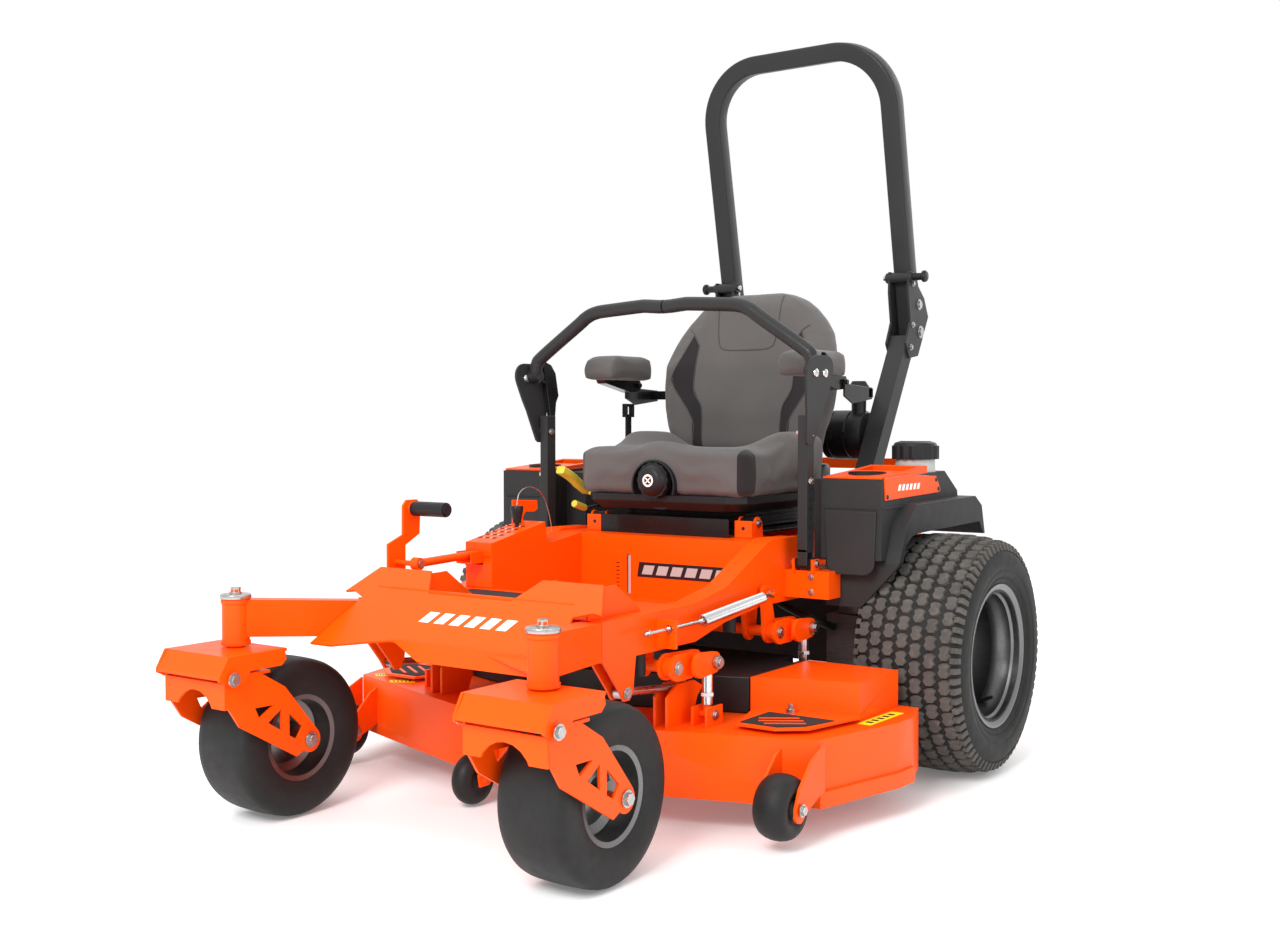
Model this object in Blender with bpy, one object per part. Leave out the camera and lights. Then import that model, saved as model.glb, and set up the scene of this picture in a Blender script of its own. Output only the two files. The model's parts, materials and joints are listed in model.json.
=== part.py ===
"""Zero turn mower: the frame, the wheels and every moving part, each as its own solid.

Metres, +Z up, the ground at z = 0, the front at -Y and the operator's left at +X.
The left-hand pieces are drawn, and side=-1 mirrors them for the right.
"""
import math

import bmesh
import bpy
from mathutils import Matrix, Vector

# ---- driving dimensions -------------------------------------------------------------------
GAP = 0.0003            # between pieces that touch
RUN = 0.0005            # between a pin and what turns on it

FRAME_HALF = 0.330      # outer face of the main rails
RAIL_W = 0.050
RAIL_Z = (0.365, 0.445)  # low front stretch of the rails
REAR_RAIL_Z = (0.410, 0.480)
REAR_END = 0.930        # rear end of the rails

CASTER_X = 0.404        # caster spindle
CASTER_Y = -0.870
CASTER_R = 0.166        # front tyre
CASTER_W = 0.150
CASTER_TRAIL = 0.115    # axle behind the spindle
SLEEVE_R = 0.028
TYRE_CLEAR = 0.0345     # tyre to the top of the saddle
SADDLE_TOP = 2 * CASTER_R + TYRE_CLEAR
YOKE_PIVOT_Z = SADDLE_TOP - 0.0435
SLEEVE_Z = (SADDLE_TOP + 0.004, SADDLE_TOP + 0.0995)
SPINDLE_R = 0.0172
SADDLE_HALF = 0.100     # outer face of the saddle's side flanges
PLATE = 0.006           # fork plates

AXLE_Y = 0.412          # drive axle
DRIVE_R = 0.280
DRIVE_W = 0.267
DRIVE_OUT = 0.745       # outer side of the drive tyres
AXLE_R = 0.0157

PANEL_Y = 0.030         # front face of the seat box
PANEL_TOP = 0.551
FLOOR_FRONT_Z = 0.4450  # top of the foot pan at the front
FLOOR_REAR_Z = 0.402
SHEET = 0.004

DECK_TOP = 0.200
DECK_BOTTOM = 0.065
DECK_SHEET = 0.006
DECK_HALF = 0.693       # side wall at its widest
DECK_FRONT_Y = -0.440
DECK_CORNER = (0.633, -0.296)
DECK_REAR_Y = 0.113     # rear end of the side walls
COVER_TOP = 0.280
BLADE_R = 0.221
BLADE_Z = (0.087, 0.092)
OUTER_SPINDLE = (0.435, -0.070)
CENTRE_SPINDLE_Y = -0.190
SCALP_R = 0.0645
SCALP_AXLE = (-0.390, 0.085)

LIFT_SHAFT_R = 0.0125
LIFT_ARM = 0.106        # shaft to hanger pin
FRONT_SHAFT = (-0.402, 0.332)
REAR_SHAFT = (0.015, 0.353)
HANGER_X = 0.376
HANGER_PIN_Z = 0.222
PIN_R = 0.006

BAR_TUBE = 0.050        # roll bar
BAR_HALF = 0.305        # outer face of its legs
BAR_TOP = 1.871
BAR_HINGE = (0.915, 1.075)
BAR_LEAN = 0.204        # forward per metre of height
BAR_CORNER_R = 0.160
POST_FOOT = (0.521, 0.480)
POST_TOP = (0.868, 1.050)

LEVER_X = 0.3795        # steering levers
LEVER_Y = 0.122
LEVER_PIVOT_Z = 0.500
LEVER_TOP = 0.842
GRIP_R = 0.0145
GRIP_Z = 1.107

SEAT_HALF = 0.256
SEAT_FRONT = 0.055
SEAT_REAR = 0.490
SEAT_Z = (0.6505, 0.765)
BACK_TOP = 1.172
ARM_IN = 0.246          # inner side of the armrests
ARM_PIVOT = (0.415, 0.925)
KNOB_Z = 0.685          # weight knob
TILT_PIN = (0.140, 0.585)

POD_IN = 0.404
POD_OUT = 0.556
FENDER_OUT = 0.590
POD_TOP = 0.695
CUP = (0.480, 0.235, 0.042)
CAP = (0.500, 0.460)
CAP_TOP = 0.778

ROUND = 16              # sides of a small round piece


# ---- materials ----------------------------------------------------------------------------
FINISHES = {
    "orange": ((1.0, 0.09, 0.0), 0.35, 0.0),
    "charcoal": ((0.12, 0.12, 0.12), 0.5, 0.0),
    "black": ((0.02, 0.02, 0.02), 0.5, 0.0),
    "moulded": ((0.05, 0.05, 0.05), 0.7, 0.0),
    "rubber": ((0.015, 0.015, 0.015), 0.85, 0.0),
    "turf_rubber": ((0.055, 0.05, 0.045), 0.95, 0.0),
    "zinc": ((0.6, 0.6, 0.6), 0.35, 1.0),
    "rim": ((0.25, 0.25, 0.25), 0.4, 1.0),
    "cast": ((0.3, 0.3, 0.3), 0.6, 1.0),
    "vinyl": ((0.2, 0.18, 0.17), 0.7, 0.0),
    "yellow": ((0.75, 0.7, 0.05), 0.5, 0.0),
}


def finish(name):
    """The named finish as a Principled material, made once."""
    made = bpy.data.materials.get(name)
    if made:
        return made
    colour, rough, metal = FINISHES[name]
    made = bpy.data.materials.new(name)
    made.use_nodes = True
    shader = made.node_tree.nodes["Principled BSDF"]
    shader.inputs["Base Color"].default_value = (*colour, 1.0)
    shader.inputs["Roughness"].default_value = rough
    shader.inputs["Metallic"].default_value = metal
    return made


# ---- shapes -------------------------------------------------------------------------------
def skinned(rings, closed=False):
    """A closed body through rings of equal count, capped at both ends unless the rings close."""
    bm = bmesh.new()
    loops = [[bm.verts.new(p) for p in ring] for ring in rings]
    pairs = list(zip(loops, loops[1:] + loops[:1])) if closed else list(zip(loops, loops[1:]))
    for a, b in pairs:
        for i in range(len(a)):
            j = (i + 1) % len(a)
            bm.faces.new((a[i], a[j], b[j], b[i]))
    if not closed:
        bm.faces.new(reversed(loops[0]))
        bm.faces.new(loops[-1])
    bmesh.ops.recalc_face_normals(bm, faces=bm.faces)
    return bm


def prism(axis, outline, low, high):
    """An outline run along an axis: (y, z) for 'x', (x, z) for 'y' and (x, y) for 'z'."""
    place = {
        "x": lambda a, b, t: (t, a, b),
        "y": lambda a, b, t: (a, t, b),
        "z": lambda a, b, t: (a, b, t),
    }[axis]
    return skinned([[place(a, b, t) for a, b in outline] for t in (low, high)])


def block(low, high):
    """A box between two corners."""
    return prism("z", [(low[0], low[1]), (high[0], low[1]), (high[0], high[1]), (low[0], high[1])],
                 low[2], high[2])


def circle(centre, radius, start=0.0, stop=360.0, steps=ROUND):
    """Points on an arc, the last left out of a full circle."""
    full = abs(stop - start) >= 360.0
    count = steps if full else steps + 1
    return [(centre[0] + radius * math.cos(math.radians(start + (stop - start) * i / steps)),
             centre[1] + radius * math.sin(math.radians(start + (stop - start) * i / steps)))
            for i in range(count)]


def pill(a, b, radius, end_radius=None, steps=8):
    """The outline round two circles joined by straight sides."""
    other = radius if end_radius is None else end_radius
    way = math.degrees(math.atan2(b[1] - a[1], b[0] - a[0]))
    return (circle(a, radius, way + 90, way + 270, steps)
            + circle(b, other, way - 90, way + 90, steps))


def rod(start, end, radius, sides=ROUND, end_radius=None):
    """A round bar, or a cone, between two points."""
    start, end = Vector(start), Vector(end)
    way = (end - start).normalized()
    side = way.orthogonal().normalized()
    up = way.cross(side)
    rings = []
    for centre, r in ((start, radius), (end, radius if end_radius is None else end_radius)):
        rings.append([centre + side * x + up * y for x, y in circle((0, 0), r, steps=sides)])
    return skinned(rings)


def swept(points, section, up):
    """A section of (across, up) points carried along a path, mitred at its bends."""
    points = [Vector(p) for p in points]
    up = Vector(up)
    rings = []
    for i, here in enumerate(points):
        back = (here - points[i - 1]).normalized() if i else None
        ahead = (points[i + 1] - here).normalized() if i + 1 < len(points) else None
        way = ((back or ahead) + (ahead or back)).normalized()
        stretch = 1.0 / max(way.dot(ahead or back), 0.2)
        flat = (ahead or back).cross(back) if back and ahead else Vector((0, 0, 0))
        side = way.cross(up).normalized()
        high = side.cross(way).normalized()
        ring = []
        for a, b in section:
            offset = side * a + high * b
            if flat.length > 1e-6:
                outward = way.cross(flat).normalized()
                offset += outward * offset.dot(outward) * (stretch - 1.0)
            ring.append(here + offset)
        rings.append(ring)
    return skinned(rings)


def turned(profile, centre, axis, steps):
    """A closed outline of (along, radius) points turned round an axis through centre."""
    along, side = {"x": (Vector((1, 0, 0)), Vector((0, 0, 1))), "y": (Vector((0, 1, 0)), Vector((0, 0, 1))),
                   "z": (Vector((0, 0, 1)), Vector((1, 0, 0)))}[axis]
    up = along.cross(side)
    rings = []
    for i in range(steps):
        t = 2 * math.pi * i / steps
        out = side * math.cos(t) + up * math.sin(t)
        rings.append([Vector(centre) + along * a + out * r for a, r in profile])
    return skinned(rings, closed=True)


def rectangle(width, height):
    """A section of (across, up) corners."""
    return [(-width / 2, -height / 2), (width / 2, -height / 2),
            (width / 2, height / 2), (-width / 2, height / 2)]


def both(shape):
    """The shape and its mirror in x."""
    other = shape.copy()
    bmesh.ops.scale(other, vec=(-1, 1, 1), verts=other.verts)
    bmesh.ops.reverse_faces(other, faces=other.faces)
    return [shape, other]


def helper(bm, name):
    """A shape as a hidden object for a Boolean."""
    mesh = bpy.data.meshes.new(name)
    bm.to_mesh(mesh)
    bm.free()
    made = bpy.data.objects.new(name, mesh)
    made.hide_render = True
    made.display_type = "WIRE"
    bpy.context.scene.collection.objects.link(made)
    return made


def piece(name, look, solids, cuts=(), side=1, origin=(0.0, 0.0, 0.0)):
    """One named solid: the union of solids less cuts, mirrored if side is -1, with its origin."""
    base = helper(solids[0], name + "_base")
    tools = [(helper(s, name + "_add"), "UNION") for s in solids[1:]]
    tools += [(helper(c, name + "_cut"), "DIFFERENCE") for c in cuts]
    for tool, operation in tools:
        step = base.modifiers.new(operation, "BOOLEAN")
        step.operation = operation
        step.object = tool
        step.solver = "EXACT"
    bpy.context.view_layer.update()
    graph = bpy.context.evaluated_depsgraph_get()
    mesh = bpy.data.meshes.new_from_object(base.evaluated_get(graph))
    for used in [base] + [tool for tool, _ in tools]:
        bpy.data.objects.remove(used, do_unlink=True)
    bm = bmesh.new()
    bm.from_mesh(mesh)
    bmesh.ops.remove_doubles(bm, verts=bm.verts, dist=1e-6)
    bmesh.ops.dissolve_limit(bm, angle_limit=math.radians(0.05), verts=bm.verts, edges=bm.edges)
    if side < 0:
        bmesh.ops.scale(bm, vec=(-1, 1, 1), verts=bm.verts)
        bmesh.ops.reverse_faces(bm, faces=bm.faces)
    centre = Vector((origin[0] * side, origin[1], origin[2]))
    bmesh.ops.translate(bm, vec=-centre, verts=bm.verts)
    bm.to_mesh(mesh)
    bm.free()
    mesh.name = name
    mesh.materials.clear()
    mesh.materials.append(finish(look))
    mesh.shade_smooth()
    mesh.set_sharp_from_angle(angle=math.radians(35))
    made = bpy.data.objects.new(name, mesh)
    made.location = centre
    bpy.context.scene.collection.objects.link(made)
    return made


def tag(side):
    """The ending of a paired piece's name."""
    return "left" if side > 0 else "right"


# ---- main frame ---------------------------------------------------------------------------
def main_frame():
    """Rails with their goosenecks, swept arms, sleeves, cross members, lift and pod brackets."""
    low, high = RAIL_Z
    rear_low, rear_high = REAR_RAIL_Z
    inner = FRAME_HALF - RAIL_W
    rail = [(-0.60, low), (-0.27, low), (-0.152, 0.392), (0.004, rear_low), (REAR_END, rear_low),
            (REAR_END, rear_high), (0.180, rear_high), (0.180, 0.556), (0.056, 0.558),
            (0.021, 0.546), (-0.145, 0.468), (-0.275, high), (-0.60, high)]
    arm_z = (low + high) / 2
    arm = swept([(CASTER_X, CASTER_Y, (SLEEVE_Z[0] + SLEEVE_Z[1]) / 2 + 0.009), (inner + RAIL_W / 2, -0.610, arm_z),
                 (inner + RAIL_W / 2, -0.570, arm_z)],
                rectangle(RAIL_W - 0.002, high - low - 0.004), (0, 0, 1))
    sleeve = rod((CASTER_X, CASTER_Y, SLEEVE_Z[0]), (CASTER_X, CASTER_Y, SLEEVE_Z[1]), SLEEVE_R)
    spring_lug = block((FRAME_HALF - 0.004, -0.416, 0.372), (FRAME_HALF + 0.046, -0.408, 0.430))
    link_ears = [prism("x", [(-0.600, 0.372), (-0.486, 0.372), (-0.496, 0.300), (-0.508, 0.280),
                             (-0.526, 0.280), (-0.540, 0.300)], x, x + PLATE)
                 for x in (FRAME_HALF - 0.036, FRAME_HALF - 0.006)]
    link_pin = rod((FRAME_HALF - 0.034, -0.517, 0.295), (FRAME_HALF - 0.002, -0.517, 0.295), PIN_R)
    hangers = []
    for y, z in (FRONT_SHAFT, REAR_SHAFT):
        hangers.append(prism("x", [(y - 0.035, 0.420)] + circle((y, z), 0.024, 180, 360, 8)
                             + [(y + 0.035, 0.420)], inner + 0.008, inner + 0.016))
    beam = block((FRAME_HALF - 0.010, 0.113, 0.421), (POD_IN + 0.040, 0.1715, 0.484))
    pivot_ears = [block((LEVER_X - 0.0275, LEVER_Y - 0.014, 0.480), (LEVER_X - 0.0215, LEVER_Y + 0.014, 0.5105)),
                  block((LEVER_X + 0.0215, LEVER_Y - 0.014, 0.480), (LEVER_X + 0.0275, LEVER_Y + 0.014, 0.5105))]
    pivot_pin = rod((LEVER_X - 0.024, LEVER_Y, LEVER_PIVOT_Z), (LEVER_X + 0.024, LEVER_Y, LEVER_PIVOT_Z), 0.005)
    solids = [prism("x", rail, inner, FRAME_HALF), arm, sleeve, spring_lug, *link_ears, link_pin,
              *hangers, beam, *pivot_ears, pivot_pin]
    solids = [half for shape in solids for half in both(shape)]
    crossing = FRAME_HALF - 0.01
    solids += [block((-crossing, -0.635, low + 0.008), (crossing, -0.585, FLOOR_FRONT_Z - SHEET - 2 * GAP)),
               block((-crossing, 0.050, rear_low + 0.004), (crossing, 0.090, rear_high - 0.010)),
               block((-crossing, 0.330, rear_high - 0.006), (crossing, REAR_END - 0.02, rear_high)),
               block((-crossing, REAR_END - 0.045, rear_low + 0.004), (crossing, REAR_END - 0.005, rear_high - 0.004)),
               block((-FRAME_HALF + 0.001, -0.520, high - 0.010), (-FRAME_HALF + 0.007, -0.484, 0.486)),
               rod((-FRAME_HALF + 0.003, -0.502, 0.468), (-FRAME_HALF + 0.0205, -0.502, 0.468), PIN_R)]
    bores = []
    for y, z in (FRONT_SHAFT, REAR_SHAFT):
        bores.append(rod((-0.36, y, z), (0.36, y, z), LIFT_SHAFT_R + RUN))
    for s in (1, -1):
        bores.append(rod((s * CASTER_X, CASTER_Y, SLEEVE_Z[0] - 0.04), (s * CASTER_X, CASTER_Y, SLEEVE_Z[1] + 0.05), SPINDLE_R + RUN))
    bores.append(rod((FRAME_HALF + 0.030, -0.45, 0.411), (FRAME_HALF + 0.030, -0.38, 0.411), 0.010))
    bores.append(rod((-FRAME_HALF - 0.030, -0.45, 0.411), (-FRAME_HALF - 0.030, -0.38, 0.411), 0.010))
    piece("main_frame", "orange", solids, bores)


def front_guard():
    """The toe guard: a sloping plate with a cut-out between two ears, folded lip and gussets."""
    foot = Vector((0, -0.721, 0.386))
    slope = Vector((0, 0.163, 0.124)).normalized()
    normal = slope.cross(Vector((1, 0, 0))).normalized()
    half = [(0.0, 0.0), (0.12, 0.0), (0.262, -0.033), (0.320, -0.033), (0.283, 0.112),
            (0.322, 0.128), (0.345, 0.124), (0.303, 0.205), (0.152, 0.205), (0.112, 0.139)]
    outline = half + [(-x, t) for x, t in reversed(half[1:])]
    plate = skinned([[foot + Vector((x, 0, 0)) + slope * t + normal * d for x, t in outline]
                     for d in (0.0, 0.005)])
    lip = prism("y", [(-0.107, 0.390), (-0.035, 0.350), (0.285, 0.350), (0.300, 0.378), (0.262, 0.390)],
                foot.y - 0.004, foot.y + 0.001)
    under = FLOOR_FRONT_Z + GAP
    gusset = [(-0.606, 0.4705), (-0.562, 0.5045), (-0.512, 0.506), (-0.430, under + 0.002),
              (-0.430, under), (-0.606, under)]
    inner = [prism("x", gusset, x, x + 0.005) for x in (0.150, -0.155)]
    outer = prism("x", gusset, 0.296, 0.301)
    foot_bars = block((-0.265, -0.606, under), (0.265, -0.600, 0.476))
    piece("front_guard", "orange", [plate, lip, outer, foot_bars] + inner)


def floor_pan():
    """The foot pan: high at the front, then down a slope to the seat box."""
    top = [(-0.598, FLOOR_FRONT_Z), (-0.310, FLOOR_FRONT_Z), (-0.190, FLOOR_REAR_Z), (0.0295, FLOOR_REAR_Z)]
    outline = top + [(y, z - SHEET) for y, z in reversed(top)]
    half = FRAME_HALF - RAIL_W - GAP
    piece("floor_pan", "orange", [prism("x", outline, -half, half)])


def seat_box():
    """Front panel with its slot, top flange, sides, rear wall and the seat's tilt ears."""
    half = FRAME_HALF - RAIL_W - GAP
    top = PANEL_TOP
    panel = block((-half, PANEL_Y, FLOOR_REAR_Z - 0.002), (half, PANEL_Y + SHEET, top))
    flange = block((-half, PANEL_Y, top - SHEET), (half, 0.195, top))
    walls = [prism("x", [(0.092, 0.402), (0.092, top), (0.476, top), (0.476, 0.4805), (0.320, 0.4805), (0.320, 0.402)],
                   x, x + SHEET) for x in (-half, half - SHEET)]
    rear = block((-half, 0.472, 0.4805), (half, 0.476, top))
    ears = []
    for s in (1, -1):
        for x in (0.195, 0.238):
            plate = prism("x", [(0.116, top - 0.002), (0.164, top - 0.002), (0.158, 0.590)]
                          + circle((0.140, 0.587), 0.014, 20, 160, 6) + [(0.122, 0.590)],
                          min(s * x, s * (x + 0.005)), max(s * x, s * (x + 0.005)))
            ears.append(plate)
        ears.append(rod((s * 0.197, *TILT_PIN), (s * 0.241, *TILT_PIN), 0.005, 12))
    slot = prism("y", pill((-0.056, 0.412), (-0.056, 0.500), 0.006), 0.0, 0.06)
    piece("seat_box", "orange", [panel, flange, *walls, rear, *ears], [slot])


def selector_box():
    """The height selector: a sloping box of pin holes with a channel for the push rod."""
    outline = [(-0.305, FLOOR_FRONT_Z + GAP), (-0.305, 0.549), (-0.113, 0.587), (-0.105, 0.540),
               (-0.084, 0.536), (PANEL_Y - 2 * GAP, 0.552), (PANEL_Y - 2 * GAP, FLOOR_REAR_Z + 2 * GAP),
               (-0.188, FLOOR_REAR_Z + 2 * GAP), (-0.308, FLOOR_FRONT_Z + GAP)]
    outline = [(-0.305, FLOOR_FRONT_Z + GAP)] + outline[1:8] + [(-0.300, FLOOR_FRONT_Z + 2 * GAP - 0.002)]
    outline[-1] = (-0.3085, FLOOR_FRONT_Z + GAP)
    outline[0] = (-0.3085, 0.500)
    inner = -0.200
    channel = block((-0.268, -0.40, 0.498), (-0.227, -0.150, 0.5405))
    bore = rod((-0.245, -0.165, 0.548), (-0.245, -0.165, 0.62), 0.0065, 16)
    piece("selector_box", "orange", [prism("x", outline, -0.2795, inner)], [channel, bore])


def rear_guard():
    """The bumper frame behind the engine."""
    y0, y1 = REAR_END + 0.001, 0.991
    solids = both(block((0.245, y0, 0.412), (0.295, y1, 0.470)))
    solids += both(block((0.255, y1 - 0.030, 0.412), (0.285, y1, 0.720)))
    solids += [block((-0.285, y1 - 0.030, 0.690), (0.285, y1, 0.720)),
               block((-0.295, y1 - 0.030, 0.412), (0.295, y1, 0.460))]
    piece("rear_guard", "orange", solids)


# ---- power --------------------------------------------------------------------------------
def engine():
    """A vertical-shaft V-twin: sump, blower housing and two finned cylinders."""
    y = 0.660
    solids = [rod((0, y, 0.4805), (0, y, 0.640), 0.130),
              rod((0, y - 0.01, 0.630), (0, y - 0.01, 0.712), 0.152, 28),
              rod((0, y - 0.01, 0.710), (0, y - 0.01, 0.745), 0.110, 28, 0.095)]
    for s in (1, -1):
        solids.append(swept([(s * 0.05, y + 0.02, 0.565), (s * 0.205, y + 0.115, 0.565)],
                            rectangle(0.105, 0.115), (0, 0, 1)))
    piece("engine", "cast", solids)


def air_cleaner():
    """A canister filter lying across the machine, with its inlet and rain cap."""
    y, z = 0.730, 0.790
    end = BAR_HALF - BAR_TUBE - 0.008
    inlet = end - 0.025
    solids = [rod((end - 0.122, y, z), (end, y, z), 0.067, 28),
              rod((inlet, y - 0.010, z + 0.04), (inlet, y - 0.010, 0.885), 0.020, 16),
              rod((inlet, y - 0.015, 0.884), (inlet, y - 0.015, 0.905), 0.028, 20, 0.035),
              rod((inlet, y - 0.015, 0.904), (inlet, y - 0.015, 0.936), 0.035, 20, 0.018),
              block((0.150, y - 0.035, 0.712 + GAP), (0.190, y - 0.005, 0.740))]
    piece("air_cleaner", "black", solids)


def muffler():
    """The silencer across the back of the engine."""
    solids = [rod((-0.200, 0.885, 0.550), (0.200, 0.885, 0.550), 0.055, 20),
              rod((0.14, 0.885, 0.52), (0.14, 0.885, 0.4825), 0.018, 12)]
    piece("muffler", "cast", solids)


def transaxle(side):
    """One hydro drive with its axle stub."""
    tyre_in = DRIVE_OUT - DRIVE_W
    solids = [block((FRAME_HALF + 0.005, AXLE_Y - 0.100, 0.190), (tyre_in - 0.020, AXLE_Y + 0.100, 0.360)),
              rod((FRAME_HALF + 0.060, AXLE_Y - 0.03, 0.355), (FRAME_HALF + 0.060, AXLE_Y - 0.03, 0.400), 0.050, 20),
              rod((tyre_in - 0.030, AXLE_Y, DRIVE_R), (tyre_in + 0.012, AXLE_Y, DRIVE_R), 0.040, 20),
              rod((tyre_in, AXLE_Y, DRIVE_R), (tyre_in + 0.155, AXLE_Y, DRIVE_R), AXLE_R, 20)]
    piece("transaxle_" + tag(side), "cast", solids, side=side)


# ---- roll bar -----------------------------------------------------------------------------
def bar_line(z):
    """Where the hoop's centre line is at height z, as it leans forward from the hinge."""
    return BAR_HINGE[0] - (z - BAR_HINGE[1]) * BAR_LEAN


def roll_bar_base():
    """Both lower posts, the cross plate between them and the hinge plates."""
    x0, x1 = BAR_HALF - BAR_TUBE, BAR_HALF
    mid = BAR_HALF - BAR_TUBE / 2
    foot, top = Vector((mid, *POST_FOOT)), Vector((mid, *POST_TOP))
    way = (top - foot).normalized()
    post = swept([foot - way * 0.0, top], rectangle(BAR_TUBE, BAR_TUBE), (0, -1, 1))
    hinge_y, hinge_z = BAR_HINGE
    ears = [(0.845, 1.000), (0.900, 1.008), (0.968, 1.120), (0.940, 1.170), (0.900, 1.200),
            (0.884, 1.238), (0.838, 1.238), (0.836, 1.180), (0.850, 1.100), (0.820, 1.040)]
    solids = [post, prism("x", ears, x0 - PLATE - GAP, x0 - GAP), prism("x", ears, x1 + GAP, x1 + GAP + PLATE),
              block((x0 - PLATE - GAP, 0.842, 1.012), (x1 + PLATE + GAP, 0.862, 1.040)),
              rod((x0 - 0.012, hinge_y, hinge_z), (x1 + 0.012, hinge_y, hinge_z), 0.008, 12),
              block((mid - 0.03, POST_FOOT[0] - 0.040, 0.4805), (FRAME_HALF, POST_FOOT[0] + 0.055, 0.4885))]
    solids = [half for shape in solids for half in both(shape)]
    solids.append(block((-mid, 0.505, 0.4805), (mid, 0.513, 0.540)))
    pin_y = bar_line(1.222) - BAR_TUBE / 2 * 1.02 - 0.0095
    cuts = both(rod((x0 - 0.02, pin_y, 1.222), (x1 + 0.02, pin_y, 1.222), 0.0085, 16))
    cuts.append(block((-0.4, 0.3, 0.40), (0.4, 0.9, 0.4805)))
    piece("roll_bar_base", "charcoal", solids, cuts)


def roll_bar_hoop():
    """The upper hoop, from hinge to hinge over the operator."""
    mid = BAR_HALF - BAR_TUBE / 2
    lean = math.atan(BAR_LEAN)
    along = Vector((0, -math.sin(lean), math.cos(lean)))
    foot = Vector((0, BAR_HINGE[0], BAR_HINGE[1])) - along * 0.030
    height = (BAR_TOP - BAR_TUBE / 2 * (math.cos(lean) + math.sin(lean)) - foot.z) / along.z
    r = BAR_CORNER_R
    flat = [(mid, 0.0), (mid, height - r)]
    flat += circle((mid - r, height - r), r, 0, 90, 8)[1:]
    flat += [(-x, h) for x, h in reversed(flat)]
    path = [foot + Vector((x, 0, 0)) + along * h for x, h in flat]
    hoop = swept(path, rectangle(BAR_TUBE, BAR_TUBE), along.cross(Vector((1, 0, 0))))
    bore = rod((-0.4, *BAR_HINGE), (0.4, *BAR_HINGE), 0.008 + RUN, 16)
    piece("roll_bar_hoop", "charcoal", [hoop], [bore], origin=(0.0, *BAR_HINGE))


def roll_bar_pin(side):
    """The pull pin with its round knob, across the front of the hoop's leg."""
    y, z = bar_line(1.222) - BAR_TUBE / 2 * 1.02 - 0.0095, 1.222
    solids = [rod((0.238, y, z), (0.340, y, z), 0.008, 16), rod((0.334, y, z), (0.358, y, z), 0.016, 16)]
    piece("roll_bar_pin_" + tag(side), "black", solids, side=side, origin=(0.30, y, z))


# ---- casters ------------------------------------------------------------------------------
def fork_point(y, z):
    """A point given from the spindle and the saddle's top."""
    return CASTER_Y + y, SADDLE_TOP + z


def caster_saddle(side):
    """Spindle with its cap, and the inverted channel that holds the yoke."""
    x, half = CASTER_X, SADDLE_HALF
    side_plate = [fork_point(*p) for p in ((-0.100, 0.0), (0.042, 0.0), (0.046, -0.0215), (0.034, -0.0335),
                                           (-0.046, -0.0335), (-0.063, -0.0575), (-0.090, -0.0595), (-0.121, -0.0455),
                                           (-0.121, -0.0365))]
    solids = [prism("x", side_plate, x + half - PLATE, x + half),
              prism("x", side_plate, x - half, x - half + PLATE),
              block((x - half + 0.001, CASTER_Y - 0.099, SADDLE_TOP - 0.006),
                    (x + half - 0.001, CASTER_Y + 0.048, SADDLE_TOP + 0.0005)),
              prism("x", [fork_point(*p) for p in ((-0.097, 0.0), (-0.1205, -0.0365), (-0.1205, -0.0435),
                                                   (-0.114, -0.0435), (-0.093, -0.006))],
                    x - half + 0.001, x + half - 0.001),
              rod((x, CASTER_Y, SADDLE_TOP - 0.0045), (x, CASTER_Y, SLEEVE_Z[1] + 0.004), SPINDLE_R),
              rod((x, CASTER_Y, SLEEVE_Z[1] + GAP), (x, CASTER_Y, SLEEVE_Z[1] + 0.008), 0.030),
              rod((x, CASTER_Y, SLEEVE_Z[1] + 0.007), (x, CASTER_Y, SLEEVE_Z[1] + 0.019), 0.010, 12),
              rod((x - half - 0.006, CASTER_Y - 0.092, YOKE_PIVOT_Z), (x + half + 0.006, CASTER_Y - 0.092, YOKE_PIVOT_Z),
                  0.007, 12),
              block((x - 0.05, CASTER_Y - 0.02, SADDLE_TOP - 0.038), (x + 0.05, CASTER_Y + 0.02, SADDLE_TOP - 0.0045))]
    piece("caster_saddle_" + tag(side), "orange", solids, side=side, origin=(x, CASTER_Y, SADDLE_TOP))


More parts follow.
